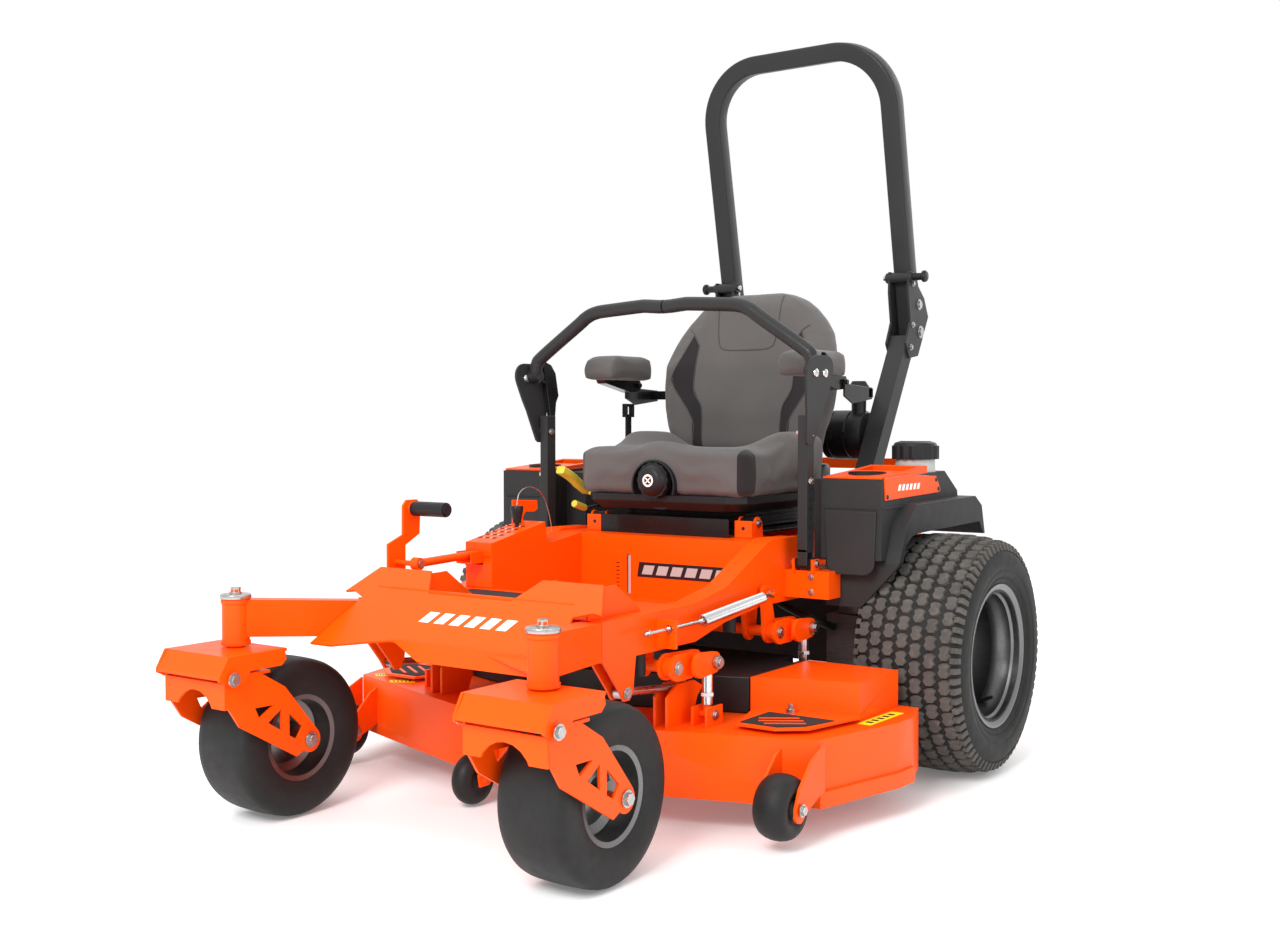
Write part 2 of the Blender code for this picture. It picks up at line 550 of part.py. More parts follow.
def caster_yoke(side):
    """The fork below the saddle: two windowed plates, a web between them and the axle bolt."""
    x = CASTER_X
    outer = SADDLE_HALF - PLATE - 0.0005
    axle_y = CASTER_Y + CASTER_TRAIL
    outline = ([fork_point(*p) for p in ((-0.104, -0.0485), (-0.098, -0.0985), (-0.068, -0.1435))]
               + [(axle_y - 0.038, CASTER_R - 0.029)] + circle((axle_y, CASTER_R - 0.001), 0.026, 225, 395, 8)
               + [fork_point(*p) for p in ((0.047, -0.0795), (-0.022, -0.0385), (-0.095, -0.0385))])
    windows = (((-0.030, -0.1115), (0.018, -0.1125), (-0.019, -0.1345)),
               ((0.038, -0.1235), (0.003, -0.1465), (0.038, -0.1695)),
               ((0.058, -0.1365), (0.094, -0.1705), (0.077, -0.1935), (0.058, -0.1825)))
    web = block((x - outer + 0.001, CASTER_Y - 0.104, SADDLE_TOP - 0.1045),
                (x + outer - 0.001, CASTER_Y - 0.098, SADDLE_TOP - 0.0525))
    roof = block((x - outer + 0.001, CASTER_Y - 0.080, SADDLE_TOP - 0.045),
                 (x + outer - 0.001, CASTER_Y + 0.010, SADDLE_TOP - 0.039))
    axle = rod((x - outer - 0.010, axle_y, CASTER_R), (x + outer + 0.010, axle_y, CASTER_R), 0.008, 16)
    solids = [prism("x", outline, x + outer - PLATE, x + outer), prism("x", outline, x - outer, x - outer + PLATE),
              web, roof, axle]
    cuts = [prism("x", [fork_point(*p) for p in w], x - outer - 0.02, x + outer + 0.02) for w in windows]
    cuts.append(rod((x - 0.15, CASTER_Y - 0.092, YOKE_PIVOT_Z), (x + 0.15, CASTER_Y - 0.092, YOKE_PIVOT_Z), 0.0075, 16))
    arch = prism("y", circle((x, SADDLE_TOP - 0.1315), 0.060, 0, 180, 10), CASTER_Y - 0.12, CASTER_Y - 0.09)
    piece("caster_yoke_" + tag(side), "orange", solids, cuts + [arch], side=side,
          origin=(x, CASTER_Y - 0.092, YOKE_PIVOT_Z))


def caster_wheel(side):
    """The smooth tyre and its pressed rim."""
    centre = (CASTER_X, CASTER_Y + CASTER_TRAIL, CASTER_R)
    half = CASTER_W / 2
    tyre = [(-half + 0.012, 0.0855), (-half + 0.006, 0.100), (-half, CASTER_R - 0.041), (-half + 0.008, CASTER_R - 0.016),
            (-half + 0.030, CASTER_R - 0.0025), (0.0, CASTER_R), (half - 0.030, CASTER_R - 0.0025),
            (half - 0.008, CASTER_R - 0.016), (half, CASTER_R - 0.041), (half - 0.006, 0.100), (half - 0.012, 0.0855)]
    piece("caster_tyre_" + tag(side), "rubber", [turned(tyre, centre, "x", 32)], side=side, origin=centre)
    seat = 0.0855 - GAP
    rim = [(half - 0.012, seat), (half - 0.012, seat - 0.006), (0.020, 0.070), (0.016, 0.030), (0.060, 0.026),
           (0.060, 0.0085), (-0.060, 0.0085), (-0.060, 0.026), (0.006, 0.030), (0.010, 0.074),
           (-half + 0.012, seat - 0.006), (-half + 0.012, seat)]
    piece("caster_rim_" + tag(side), "rim", [turned(rim, centre, "x", 32)], side=side, origin=centre)


# ---- drive wheels -------------------------------------------------------------------------
def drive_wheel(side):
    """The crowned turf tyre and its deep rim."""
    centre = (DRIVE_OUT - DRIVE_W / 2, AXLE_Y, DRIVE_R)
    half = DRIVE_W / 2
    bead = half - 0.0185
    out = [(bead, 0.150), (bead, 0.172), (half - 0.003, 0.190), (half, DRIVE_R - 0.065),
           (half - 0.012, DRIVE_R - 0.030), (half - 0.045, DRIVE_R - 0.009)]
    tyre = [(-a, r) for a, r in out] + [(0.0, DRIVE_R)] + [(a, r) for a, r in reversed(out)]
    piece("drive_tyre_" + tag(side), "turf_rubber", [turned(tyre, centre, "x", 36)], side=side, origin=centre)
    seat, edge = 0.150 - GAP, bead + GAP
    rim = [(edge + 0.006, 0.168), (edge + 0.006, 0.1455), (0.000, 0.138), (-0.004, 0.060), (0.030, 0.050),
           (0.030, AXLE_R + RUN), (-0.040, AXLE_R + RUN), (-0.040, 0.050), (-0.014, 0.060), (-0.014, 0.138),
           (-edge - 0.006, 0.1455), (-edge - 0.006, 0.168), (-edge, 0.168), (-edge, seat), (edge, seat), (edge, 0.168)]
    piece("drive_rim_" + tag(side), "rim", [turned(rim, centre, "x", 36)], side=side, origin=centre)


# ---- controls -----------------------------------------------------------------------------
def lever_pivot(side):
    """The block that lets a steering lever swing fore and aft."""
    body = block((LEVER_X - 0.021, LEVER_Y - 0.012, LEVER_PIVOT_Z - 0.012),
                 (LEVER_X + 0.021, LEVER_Y + 0.012, LEVER_PIVOT_Z + 0.012))
    bore = rod((LEVER_X - 0.03, LEVER_Y, LEVER_PIVOT_Z), (LEVER_X + 0.03, LEVER_Y, LEVER_PIVOT_Z), 0.005 + RUN, 16)
    piece("lever_pivot_" + tag(side), "black", [body], [bore], side=side, origin=(LEVER_X, LEVER_Y, LEVER_PIVOT_Z))


def control_lever(side):
    """Post, leaning upper plate and the bent round grip bar of one side."""
    x, y = LEVER_X, LEVER_Y
    fork = [block((x - 0.0125, y - 0.0175, LEVER_PIVOT_Z - 0.005), (x + 0.0125, y - 0.0125, 0.535)),
            block((x - 0.0125, y + 0.0125, LEVER_PIVOT_Z - 0.005), (x + 0.0125, y + 0.0175, 0.535))]
    post = block((x - 0.0125, y - 0.0175, 0.525), (x + 0.0125, y + 0.0175, LEVER_TOP))
    low, high = Vector((x + 0.0155, 0, 0.775)), Vector((x + 0.0505, 0, 0.985))
    way = (high - low).normalized()
    out = Vector((way.z, 0, -way.x))
    face = [(0.085, 0.0), (0.125, 0.0), (0.165, 0.105), (0.168, 0.165), (0.150, 0.195), (0.115, 0.205),
            (0.060, 0.200), (0.042, 0.175), (0.045, 0.140)]
    plate = skinned([[low + way * t + out * d + Vector((0, b, 0)) for b, t in face] for d in (-0.003, 0.003)])
    washer = rod((x + 0.010, 0.112, 0.800), (x + 0.024, 0.112, 0.802), 0.009, 12)
    grip_y = 0.105
    path = [(x + 0.030, grip_y, 0.945), (x + 0.021, grip_y, 0.985), (0.245, grip_y, 1.085), (0.222, grip_y, 1.098),
            (0.195, grip_y, 1.104), (0.060, grip_y, 1.110), (0.030, grip_y, 1.109), (0.002, grip_y, GRIP_Z)]
    grip = swept(path, circle((0, 0), GRIP_R, steps=12), (0, 1, 0))
    piece("control_lever_" + tag(side), "charcoal", fork + [post, plate, washer, grip], side=side,
          origin=(x, y, LEVER_PIVOT_Z))


def foot_pedal():
    """The lift pedal: a cranked flat arm with a round peg and the push rod's pin."""
    x0, x1 = -0.3155, -0.3095
    arm = [(-0.529, 0.452), (-0.529, 0.557), (-0.482, 0.575), (-0.481, 0.640), (-0.470, 0.652), (-0.436, 0.652),
           (-0.426, 0.640), (-0.429, 0.574), (-0.474, 0.551), (-0.474, 0.452)]
    solids = [prism("x", arm, x0, x1), rod((x1 - 0.002, -0.451, 0.632), (-0.208, -0.451, 0.632), 0.0150, 20),
              rod((x1 - 0.002, -0.502, 0.515), (-0.2360, -0.502, 0.515), PIN_R, 12)]
    bore = rod((-0.34, -0.502, 0.468), (-0.30, -0.502, 0.468), PIN_R + RUN, 16)
    piece("foot_pedal", "orange", solids, [bore], origin=(x1, -0.502, 0.468))


def push_rod():
    """The rod from the pedal back into the selector box."""
    x = -0.2475
    solids = [rod((x, -0.495, 0.5155), (x, -0.190, 0.526), 0.0095, 16),
              rod((x - 0.010, -0.502, 0.515), (x + 0.010, -0.502, 0.515), 0.014, 16)]
    bore = rod((x - 0.02, -0.502, 0.515), (x + 0.02, -0.502, 0.515), PIN_R + RUN, 16)
    piece("push_rod", "orange", solids, [bore], origin=(x, -0.502, 0.515))


def selector_pin():
    """The height pin with its black knob."""
    x, y = -0.245, -0.165
    solids = [rod((x, y, 0.5485), (x, y, 0.590), 0.0055, 12), rod((x, y, 0.588), (x, y, 0.626), 0.010, 16, 0.0155)]
    piece("selector_pin", "black", solids, origin=(x, y, 0.60))


def lanyard():
    """The stiff wire loop that keeps the pin with its box."""
    line = [(-0.165, 0.6275), (-0.158, 0.652), (-0.140, 0.665), (-0.116, 0.669), (-0.090, 0.663), (-0.070, 0.650),
            (-0.055, 0.630), (-0.040, 0.595), (-0.030, 0.558)]
    wire = swept([(-0.245, y, z) for y, z in line], circle((0, 0), 0.0012, steps=6), (1, 0, 0))
    piece("lanyard", "zinc", [wire])


# ---- seat ---------------------------------------------------------------------------------
def seat_platform():
    """The plate under the seat that tips forward on the seat box's ears."""
    front, rear = 0.166, 0.500
    solids = [block((-0.240, front, 0.5600), (0.240, rear, 0.5655)),
              block((-0.180, front, 0.5530), (0.180, front + SHEET, 0.5655))]
    for s in (1, -1):
        lug = prism("x", circle(TILT_PIN, 0.014, 90, 270, 8) + [(front + 0.01, 0.5605), (front + 0.01, 0.580)],
                    min(s * 0.2005, s * 0.2375), max(s * 0.2005, s * 0.2375))
        solids.append(lug)
    bore = rod((-0.3, *TILT_PIN), (0.3, *TILT_PIN), 0.005 + RUN, 16)
    piece("seat_platform", "black", solids, [bore], origin=(0.0, *TILT_PIN))


def seat_base():
    """The suspension box on the platform and the dished pan under the cushion."""
    low, high = 0.612, SEAT_Z[0] - 0.0010
    half, front = SEAT_HALF - 0.024, SEAT_FRONT + 0.017
    corner = half - 0.037
    top = [(-half, 0.110), (-corner, front), (corner, front), (half, 0.110), (half, 0.470), (-half, 0.470)]
    foot = [(x * 0.90, 0.090 + (y - 0.072) * 0.93) for x, y in top]
    pan = skinned([[(x, y, low) for x, y in foot], [(x, y, low + 0.020) for x, y in top], [(x, y, high) for x, y in top]])
    piece("seat_base", "black", [block((-0.170, 0.200, 0.5660), (0.170, 0.470, low + 0.010)), pan])


def seat_cushion():
    """The padded cushion: rounded corners, raised rear sides and an arch for the weight knob."""
    low, high = SEAT_Z
    r = 0.050
    half = SEAT_HALF
    outline = (circle((half - r, SEAT_FRONT + r), r, -90, 0, 4) + circle((half - r, SEAT_REAR - r), r, 0, 90, 4)
               + circle((-half + r, SEAT_REAR - r), r, 90, 180, 4) + circle((-half + r, SEAT_FRONT + r), r, 180, 270, 4))
    bolster = prism("x", [(0.200, high - 0.010), (0.270, high + 0.030), (0.330, high + 0.040), (0.455, high + 0.034),
                          (0.455, high - 0.010)], 0.172, half - 0.006)
    recess = rod((0, SEAT_FRONT - 0.01, 0.672), (0, SEAT_FRONT + 0.035, 0.672), 0.061, 20)
    piece("seat_cushion", "vinyl", [prism("z", outline, low, high), *both(bolster)], [recess])


def seat_back():
    """The padded back, leaning back a little."""
    lean = 0.11
    foot_y, foot_z = 0.475, SEAT_Z[1] + 0.004
    thick = 0.095
    half = [(0.0, 0.0), (0.160, 0.0), (0.165, 0.050), (0.262, 0.060), (0.286, 0.120), (0.286, 0.200), (0.258, 0.290),
            (0.224, 0.335), (0.180, 0.375), (0.120, 0.400), (0.0, 0.405)]
    outline = half + [(-x, t) for x, t in reversed(half[1:-1])]
    rings = [[(x, foot_y + lean * t + d, foot_z + t) for x, t in outline] for d in (0.0, thick)]
    piece("seat_back", "vinyl", [skinned(rings)])


def armrest(side):
    """A pad on its short arm, which flips up in front of the back."""
    y0, y1, z0, z1 = 0.220, 0.410, 0.940, 0.998
    pad = prism("x", [(y0 + 0.006, z0), (y1, z0), (y1, z1 - 0.012), (y1 - 0.012, z1), (y0 + 0.022, z1), (y0, z1 - 0.018),
                      (y0, z0 + 0.008)], ARM_IN, ARM_IN + 0.092)
    arm = prism("x", [(0.265, z0 + 0.001), (0.272, 0.930), (0.390, 0.905)] + circle(ARM_PIVOT, 0.018, -90, 90, 6)
                + [(0.400, z0 + 0.001)], ARM_IN + 0.052, ARM_IN + 0.084)
    piece("armrest_" + tag(side), "vinyl", [pad, arm], side=side, origin=(ARM_IN + 0.068, *ARM_PIVOT))


def seat_knob():
    """The weight knob in the cushion's front."""
    y = SEAT_FRONT
    solids = [rod((0, y - 0.024, KNOB_Z), (0, y + 0.015, KNOB_Z), 0.040, 24, 0.044)]
    piece("seat_knob", "moulded", solids, origin=(0, y, KNOB_Z))


def slide_lever():
    """The yellow handle that frees the seat's slide."""
    start, grip = -SEAT_HALF + 0.021, -SEAT_HALF - 0.026
    solids = [rod((start, 0.165, 0.634), (grip, 0.158, 0.640), 0.006, 12),
              rod((grip, 0.168, 0.637), (grip, 0.050, 0.705), 0.009, 12, 0.013)]
    piece("slide_lever", "yellow", solids, origin=(start - 0.005, 0.165, 0.634))


# ---- pods ---------------------------------------------------------------------------------
def pod(side):
    """The moulded side body with its fender, cup, tray and, on the left, the tank's neck."""
    top = POD_TOP
    tub = [(0.150, 0.512), (0.150, top), (0.510, top + 0.011), (0.590, 0.655), (0.600, 0.585), (0.260, 0.585),
           (0.215, 0.545), (0.205, 0.512)]
    tank = [(0.235, 0.500), (0.235, top - 0.004), (0.500, top + 0.005), (0.560, 0.640), (0.560, 0.500)]
    fender = [(0.1750, 0.400), (0.1750, 0.508), (0.215, 0.595), (0.270, 0.636), (0.625, 0.640), (0.668, 0.615),
              (0.690, 0.542), (0.681, 0.542), (0.652, 0.575), (0.255, 0.568), (0.210, 0.545), (0.189, 0.487),
              (0.185, 0.400)]
    solids = [prism("x", tub, POD_IN, POD_OUT), prism("x", tank, FRAME_HALF + 0.012, POD_IN + 0.06),
              prism("x", fender, POD_IN, FENDER_OUT)]
    cuts = [prism("y", [(0.485, 0.39), (0.60, 0.39), (0.60, 0.530), (0.586, 0.500)], 0.10, 0.22),
            rod((CUP[0], CUP[1], 0.605), (CUP[0], CUP[1], 0.72), CUP[2]),
            block((0.420, 0.300, 0.650), (0.540, 0.390, 0.72))]
    if side > 0:
        solids.append(rod((CAP[0], CAP[1], 0.68), (CAP[0], CAP[1], 0.7345), 0.047, 28))
    piece("pod_" + tag(side), "moulded", solids, cuts, side=side)


def fuel_cap():
    """The ribbed filler cap."""
    piece("fuel_cap", "black", [rod((*CAP, 0.735), (*CAP, CAP_TOP), 0.0575, 28)], origin=(*CAP, 0.75))


# ---- lift linkage -------------------------------------------------------------------------
def crank(y, z):
    """One side's double crank arm, from the shaft to the hanger pin, pointing back."""
    pin = (y + LIFT_ARM, z)
    inner = prism("x", pill((y, z), pin, 0.027, 0.022), FRAME_HALF + 0.010, FRAME_HALF + 0.018)
    outer = prism("x", pill((y, z), (y + 0.048, z), 0.027), FRAME_HALF + 0.036, FRAME_HALF + 0.044)
    reach = prism("x", pill((y + 0.052, z), pin, 0.026, 0.022), FRAME_HALF + 0.058, FRAME_HALF + 0.066)
    jog = block((FRAME_HALF + 0.037, y + 0.050, z - 0.022), (FRAME_HALF + 0.065, y + 0.062, z + 0.022))
    boss = rod((FRAME_HALF + 0.009, y, z), (FRAME_HALF + 0.043, y, z), 0.020, 20)
    bolt = rod((FRAME_HALF + 0.011, *pin), (FRAME_HALF + 0.074, *pin), PIN_R, 12)
    return [inner, outer, reach, jog, boss, bolt]


def lift_shaft(name, centre, upright):
    """A cross shaft with a crank at each end and, at the rear, the spring's upright arm."""
    y, z = centre
    solids = [rod((-FRAME_HALF - 0.030, y, z), (FRAME_HALF + 0.030, y, z), LIFT_SHAFT_R, 16)]
    for shape in crank(y, z):
        solids += both(shape)
    if upright:
        solids.append(prism("x", pill((y, z), (y - 0.016, z + 0.088), 0.026, 0.018), FRAME_HALF + 0.010, FRAME_HALF + 0.018))
        solids.append(rod((FRAME_HALF + 0.012, y - 0.016, z + 0.088), (FRAME_HALF + 0.040, y - 0.016, z + 0.088), 0.005, 12))
    piece(name, "orange", solids, origin=(0.0, y, z))


def lift_spring():
    """The assist spring in its tube form, with hooks and the threaded rod to the frame's lug."""
    x = FRAME_HALF + 0.030
    rear = (x, REAR_SHAFT[0] - 0.016, REAR_SHAFT[1] + 0.088)
    solids = [rod((x, -0.290, 0.4135), (x, -0.040, 0.4365), 0.0130, 16),
              rod((x, -0.504, 0.411), (x, -0.280, 0.4140), 0.0040, 10),
              rod((x, -0.050, 0.4360), (x, rear[1] + 0.001, rear[2]), 0.0045, 10),
              rod((x - 0.004, rear[1], rear[2]), (x + 0.004, rear[1], rear[2]), 0.0105, 16)]
    bore = rod((x - 0.02, rear[1], rear[2]), (x + 0.02, rear[1], rear[2]), 0.005 + RUN, 16)
    piece("lift_spring", "zinc", solids, [bore], origin=rear)


def drag_link(side):
    """The rod that ties the deck to the frame's front ears."""
    x = FRAME_HALF - 0.018
    solids = [rod((x, -0.517, 0.295), (x, -0.262, 0.268), 0.0080, 12),
              rod((x - 0.0085, -0.517, 0.295), (x + 0.0085, -0.517, 0.295), 0.0130, 16)]
    bore = rod((x - 0.02, -0.517, 0.295), (x + 0.02, -0.517, 0.295), PIN_R + RUN, 16)
    piece("drag_link_" + tag(side), "zinc", solids, [bore], side=side, origin=(x, -0.517, 0.295))


# ---- deck ---------------------------------------------------------------------------------
def deck_outline(inset=0.0):
    """The deck's plan: blunt front, slanting corners, bulging sides and a narrower rear."""
    d = inset
    slant = 0.316 * d
    half = [(0.200 - slant, DECK_FRONT_Y + d), (DECK_CORNER[0] - d * 0.75, DECK_CORNER[1] + d * 0.85),
            (DECK_HALF - d, -0.060), (DECK_HALF + 0.004 - d, 0.010), (0.665 - d, DECK_REAR_Y)]
    return half


def deck_shell():
    """Shell, skirt band, brackets, drag-link ears, wheel forks and the four hanger links."""
    outer = deck_outline()
    rear = [(0.440, DECK_REAR_Y), (0.420, 0.190)]
    plan = outer + rear
    ring = plan + [(-x, y) for x, y in reversed(plan)]
    inner = deck_outline(DECK_SHEET) + [(0.660 - DECK_SHEET, 0.300)]
    hollow = inner + [(-x, y) for x, y in reversed(inner)]
    solids = [prism("z", ring, DECK_BOTTOM, DECK_TOP)]
    cuts = [prism("z", hollow, DECK_BOTTOM - 0.02, DECK_TOP - DECK_SHEET)]
    extra = []
    for hanger_y in (FRONT_SHAFT[0] + LIFT_ARM, REAR_SHAFT[0] + LIFT_ARM):
        pin_z = HANGER_PIN_Z if hanger_y < 0 else HANGER_PIN_Z + 0.030
        top_z = FRONT_SHAFT[1] if hanger_y < 0 else REAR_SHAFT[1]
        for x in (HANGER_X - 0.021, HANGER_X + 0.013):
            extra.append(prism("x", [(hanger_y - 0.030, DECK_TOP - 0.002), (hanger_y + 0.030, DECK_TOP - 0.002),
                                     (hanger_y + 0.030, pin_z + 0.018), (hanger_y - 0.030, pin_z + 0.018)], x, x + 0.006))
        extra.append(rod((HANGER_X - 0.024, hanger_y, pin_z), (HANGER_X + 0.022, hanger_y, pin_z), PIN_R, 12))
        extra.append(rod((HANGER_X, hanger_y, pin_z), (HANGER_X, hanger_y, top_z - 0.008), 0.0085, 12))
        extra.append(rod((HANGER_X - 0.008, hanger_y, top_z), (HANGER_X + 0.008, hanger_y, top_z), 0.0135, 16))
    for x in (FRAME_HALF - 0.036, FRAME_HALF - 0.006):
        extra.append(prism("x", [(-0.375, DECK_TOP - 0.002), (-0.375, 0.262), (-0.340, 0.285), (-0.275, 0.285),
                                 (-0.240, 0.268), (-0.262, 0.250), (-0.285, DECK_TOP - 0.002)], x, x + 0.006))
    fork_y, fork_z = SCALP_AXLE
    for x in (0.559, 0.640):
        extra.append(prism("x", [(-0.290, 0.192), (-0.342, 0.170), (-0.391, 0.125), (-0.408, 0.090)]
                           + circle((fork_y, fork_z - 0.006), 0.020, 200, 340, 6) + [(-0.312, 0.095), (-0.290, 0.098)],
                           x, x + 0.006))
    extra.append(rod((0.556, fork_y, fork_z), (0.649, fork_y, fork_z), 0.006, 12))
    band = [(x + 0.007, y - 0.002) for x, y in outer[1:4]] + [(x - 0.002, y) for x, y in reversed(outer[1:4])]
    extra.append(prism("z", band, DECK_BOTTOM, DECK_BOTTOM + 0.032))
    solids += [half for shape in extra for half in both(shape)]
    base = solids[:1]
    bores = []
    for y, z in ((FRONT_SHAFT[0] + LIFT_ARM, FRONT_SHAFT[1]), (REAR_SHAFT[0] + LIFT_ARM, REAR_SHAFT[1])):
        for s in (1, -1):
            bores.append(rod((s * 0.34, y, z), (s * 0.41, y, z), PIN_R + RUN, 16))
    shell = carved(base[0], cuts[0])
    piece("deck_shell", "orange", [shell] + solids[1:], bores)


def carved(solid, cut):
    """A shape less a cut, so that later pieces may stand inside the hollow."""
    base = helper(solid, "carve_base")
    tool = helper(cut, "carve_cut")
    step = base.modifiers.new("cut", "BOOLEAN")
    step.operation = "DIFFERENCE"
    step.object = tool
    step.solver = "EXACT"
    bpy.context.view_layer.update()
    graph = bpy.context.evaluated_depsgraph_get()
    mesh = bpy.data.meshes.new_from_object(base.evaluated_get(graph))
    bm = bmesh.new()
    bm.from_mesh(mesh)
    bpy.data.meshes.remove(mesh)
    for used in (base, tool):
        bpy.data.objects.remove(used, do_unlink=True)
    return bm


def belt_cover(side):
    """The orange belt cover with its foot step in front."""
    low = DECK_TOP + GAP
    plan = [(0.397, -0.156), (0.620, -0.085), (0.620, 0.105), (0.397, 0.105)]
    step = [(0.402, -0.152), (0.450, -0.305), (0.540, -0.305), (0.595, -0.262), (0.632, -0.105), (0.618, -0.080)]
    solids = [prism("z", plan, low, COVER_TOP), prism("z", step, low + 0.008, low + 0.013)]
    piece("belt_cover_" + tag(side), "orange", solids, side=side)


def centre_cover():
    """The black cover over the middle of the belt."""
    low = DECK_TOP + GAP
    half = [(0.0, -0.285), (0.394, -0.156), (0.394, 0.062), (0.340, 0.062), (0.340, 0.140), (0.0, 0.140)]
    plan = half + [(-x, y) for x, y in reversed(half[1:-1])]
    piece("centre_cover", "black", [prism("z", plan, low, COVER_TOP)])


def blade(name, x, y, along_x):
    """A cutting blade on its spindle."""
    z0, z1 = BLADE_Z
    r, w = BLADE_R, 0.032
    bar = [(x - r, y - w), (x + r, y - w), (x + r, y + w), (x - r, y + w)]
    if not along_x:
        bar = [(x - w, y - r), (x + w, y - r), (x + w, y + r), (x - w, y + r)]
    solids = [prism("z", bar, z0, z1), rod((x, y, z1 - 0.001), (x, y, DECK_TOP - DECK_SHEET - 0.001), 0.030, 20)]
    piece(name, "cast", solids, origin=(x, y, z0))


def anti_scalp_wheel(side):
    """A rounded gauge wheel at the deck's front corner."""
    fork_y, fork_z = SCALP_AXLE
    centre = (0.6025, fork_y, fork_z)
    half = 0.0355
    profile = [(-half, 0.0065), (-half, 0.045), (-half + 0.010, 0.057), (-0.012, SCALP_R), (0.012, SCALP_R),
               (half - 0.010, 0.057), (half, 0.045), (half, 0.0065)]
    piece("anti_scalp_wheel_" + tag(side), "rubber", [turned(profile, centre, "x", 28)], side=side, origin=centre)


def clear_scene():
    """Remove what the scene starts with."""
    for old in list(bpy.data.objects):
        bpy.data.objects.remove(old, do_unlink=True)


def build():
    """Make every piece."""
    clear_scene()
    for make in (main_frame, front_guard, floor_pan, seat_box, selector_box, rear_guard, engine, air_cleaner,
                 muffler, roll_bar_base, roll_bar_hoop, foot_pedal, push_rod, selector_pin, lanyard,
                 seat_platform, seat_base, seat_cushion, seat_back, seat_knob, slide_lever, fuel_cap,
                 lift_spring, deck_shell, centre_cover):
        make()
    for side in (1, -1):
        for make in (transaxle, roll_bar_pin, caster_saddle, caster_yoke, caster_wheel, drive_wheel, lever_pivot,
                     control_lever, armrest, pod, drag_link, belt_cover, anti_scalp_wheel):
            make(side)
    lift_shaft("lift_shaft_front", FRONT_SHAFT, False)
    lift_shaft("lift_shaft_rear", REAR_SHAFT, True)
    blade("blade_centre", 0.0, CENTRE_SPINDLE_Y, True)
    blade("blade_left", OUTER_SPINDLE[0], OUTER_SPINDLE[1], False)
    blade("blade_right", -OUTER_SPINDLE[0], OUTER_SPINDLE[1], False)


build()
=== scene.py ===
"""Zero turn mower: rounded bodywork, tyres, seat, controls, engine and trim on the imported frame.

Metres, +Z up, front at -Y. Left-hand shapes are worked out and mirrored for the right.
"""
import json
import math

import bmesh
import bpy
import numpy as np
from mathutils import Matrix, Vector

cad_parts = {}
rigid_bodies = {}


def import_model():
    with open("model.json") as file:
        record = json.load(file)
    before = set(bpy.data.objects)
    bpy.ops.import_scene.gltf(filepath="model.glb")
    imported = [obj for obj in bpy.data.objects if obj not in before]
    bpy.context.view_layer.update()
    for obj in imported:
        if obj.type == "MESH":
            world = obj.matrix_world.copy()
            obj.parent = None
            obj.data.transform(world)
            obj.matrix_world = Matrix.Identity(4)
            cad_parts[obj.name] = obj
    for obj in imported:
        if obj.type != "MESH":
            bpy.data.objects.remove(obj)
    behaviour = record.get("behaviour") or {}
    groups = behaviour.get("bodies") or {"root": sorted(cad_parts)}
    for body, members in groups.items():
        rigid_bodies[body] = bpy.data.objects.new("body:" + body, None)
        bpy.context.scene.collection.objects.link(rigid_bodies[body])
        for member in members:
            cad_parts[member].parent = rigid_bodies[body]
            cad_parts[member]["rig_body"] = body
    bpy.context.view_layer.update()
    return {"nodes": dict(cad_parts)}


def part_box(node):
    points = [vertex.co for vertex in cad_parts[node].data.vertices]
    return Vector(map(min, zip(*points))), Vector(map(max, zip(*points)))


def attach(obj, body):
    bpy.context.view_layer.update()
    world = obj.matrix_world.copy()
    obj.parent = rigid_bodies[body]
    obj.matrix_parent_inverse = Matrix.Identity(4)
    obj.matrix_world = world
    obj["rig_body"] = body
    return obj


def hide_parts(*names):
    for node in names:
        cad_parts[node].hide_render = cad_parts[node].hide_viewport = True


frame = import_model()

bl_info = {
    "name": "Zero Turn Mower",
    "version": (1, 0, 0),
    "blender": (4, 5, 0),
    "location": "View3D > Sidebar > Mower",
    "description": "Builds the finished surfaces of a zero turn mower on its packed frame",
    "category": "Object",
}

SIDES = ((1, "left"), (-1, "right"))


# ---- surfaces -----------------------------------------------------------------------------
def grid_faces(rows, columns, wrap_rows=False, wrap_columns=False):
    """Quads between the points of a grid: (i, j), (i, j+1), (i+1, j+1), (i+1, j), wrapped where asked."""
    i = np.arange(rows if wrap_rows else rows - 1)[:, None]
    j = np.arange(columns if wrap_columns else columns - 1)[None, :]
    k, m = (i + 1) % rows, (j + 1) % columns
    quads = np.stack(np.broadcast_arrays(i * columns + j, i * columns + m, k * columns + m, k * columns + j), -1)
    return [tuple(q) for q in quads.reshape(-1, 4).tolist()]


def extruded(outline, axis, low, high):
    """A prism: the outline in the plane across the axis at low and at high, joined by a band of quads."""
    flat = np.asarray(outline, float)
    count = len(flat)
    order = {"x": (1, 2, 0), "y": (0, 2, 1), "z": (0, 1, 2)}[axis]
    points = np.zeros((2, count, 3))
    for ring, height in enumerate((low, high)):
        points[ring, :, order[0]], points[ring, :, order[1]] = flat[:, 0], flat[:, 1]
        points[ring, :, order[2]] = height
    faces = grid_faces(2, count, wrap_columns=True) + [tuple(range(count))[::-1], tuple(range(count, 2 * count))]
    return points.reshape(-1, 3), faces


def box(low, high):
    """A box between two corners."""
    return extruded([(low[0], low[1]), (high[0], low[1]), (high[0], high[1]), (low[0], high[1])], "z", low[2],
                    high[2])


def arc(centre, radius, start=0.0, stop=360.0, steps=24):
    """Points centre + radius * (cos t, sin t) for t from start to stop, the last left out of a full turn."""
    full = abs(stop - start) >= 360.0
    t = np.radians(np.linspace(start, stop, steps, endpoint=not full))
    return [tuple(p) for p in (np.asarray(centre) + radius * np.stack((np.cos(t), np.sin(t)), -1)).tolist()]


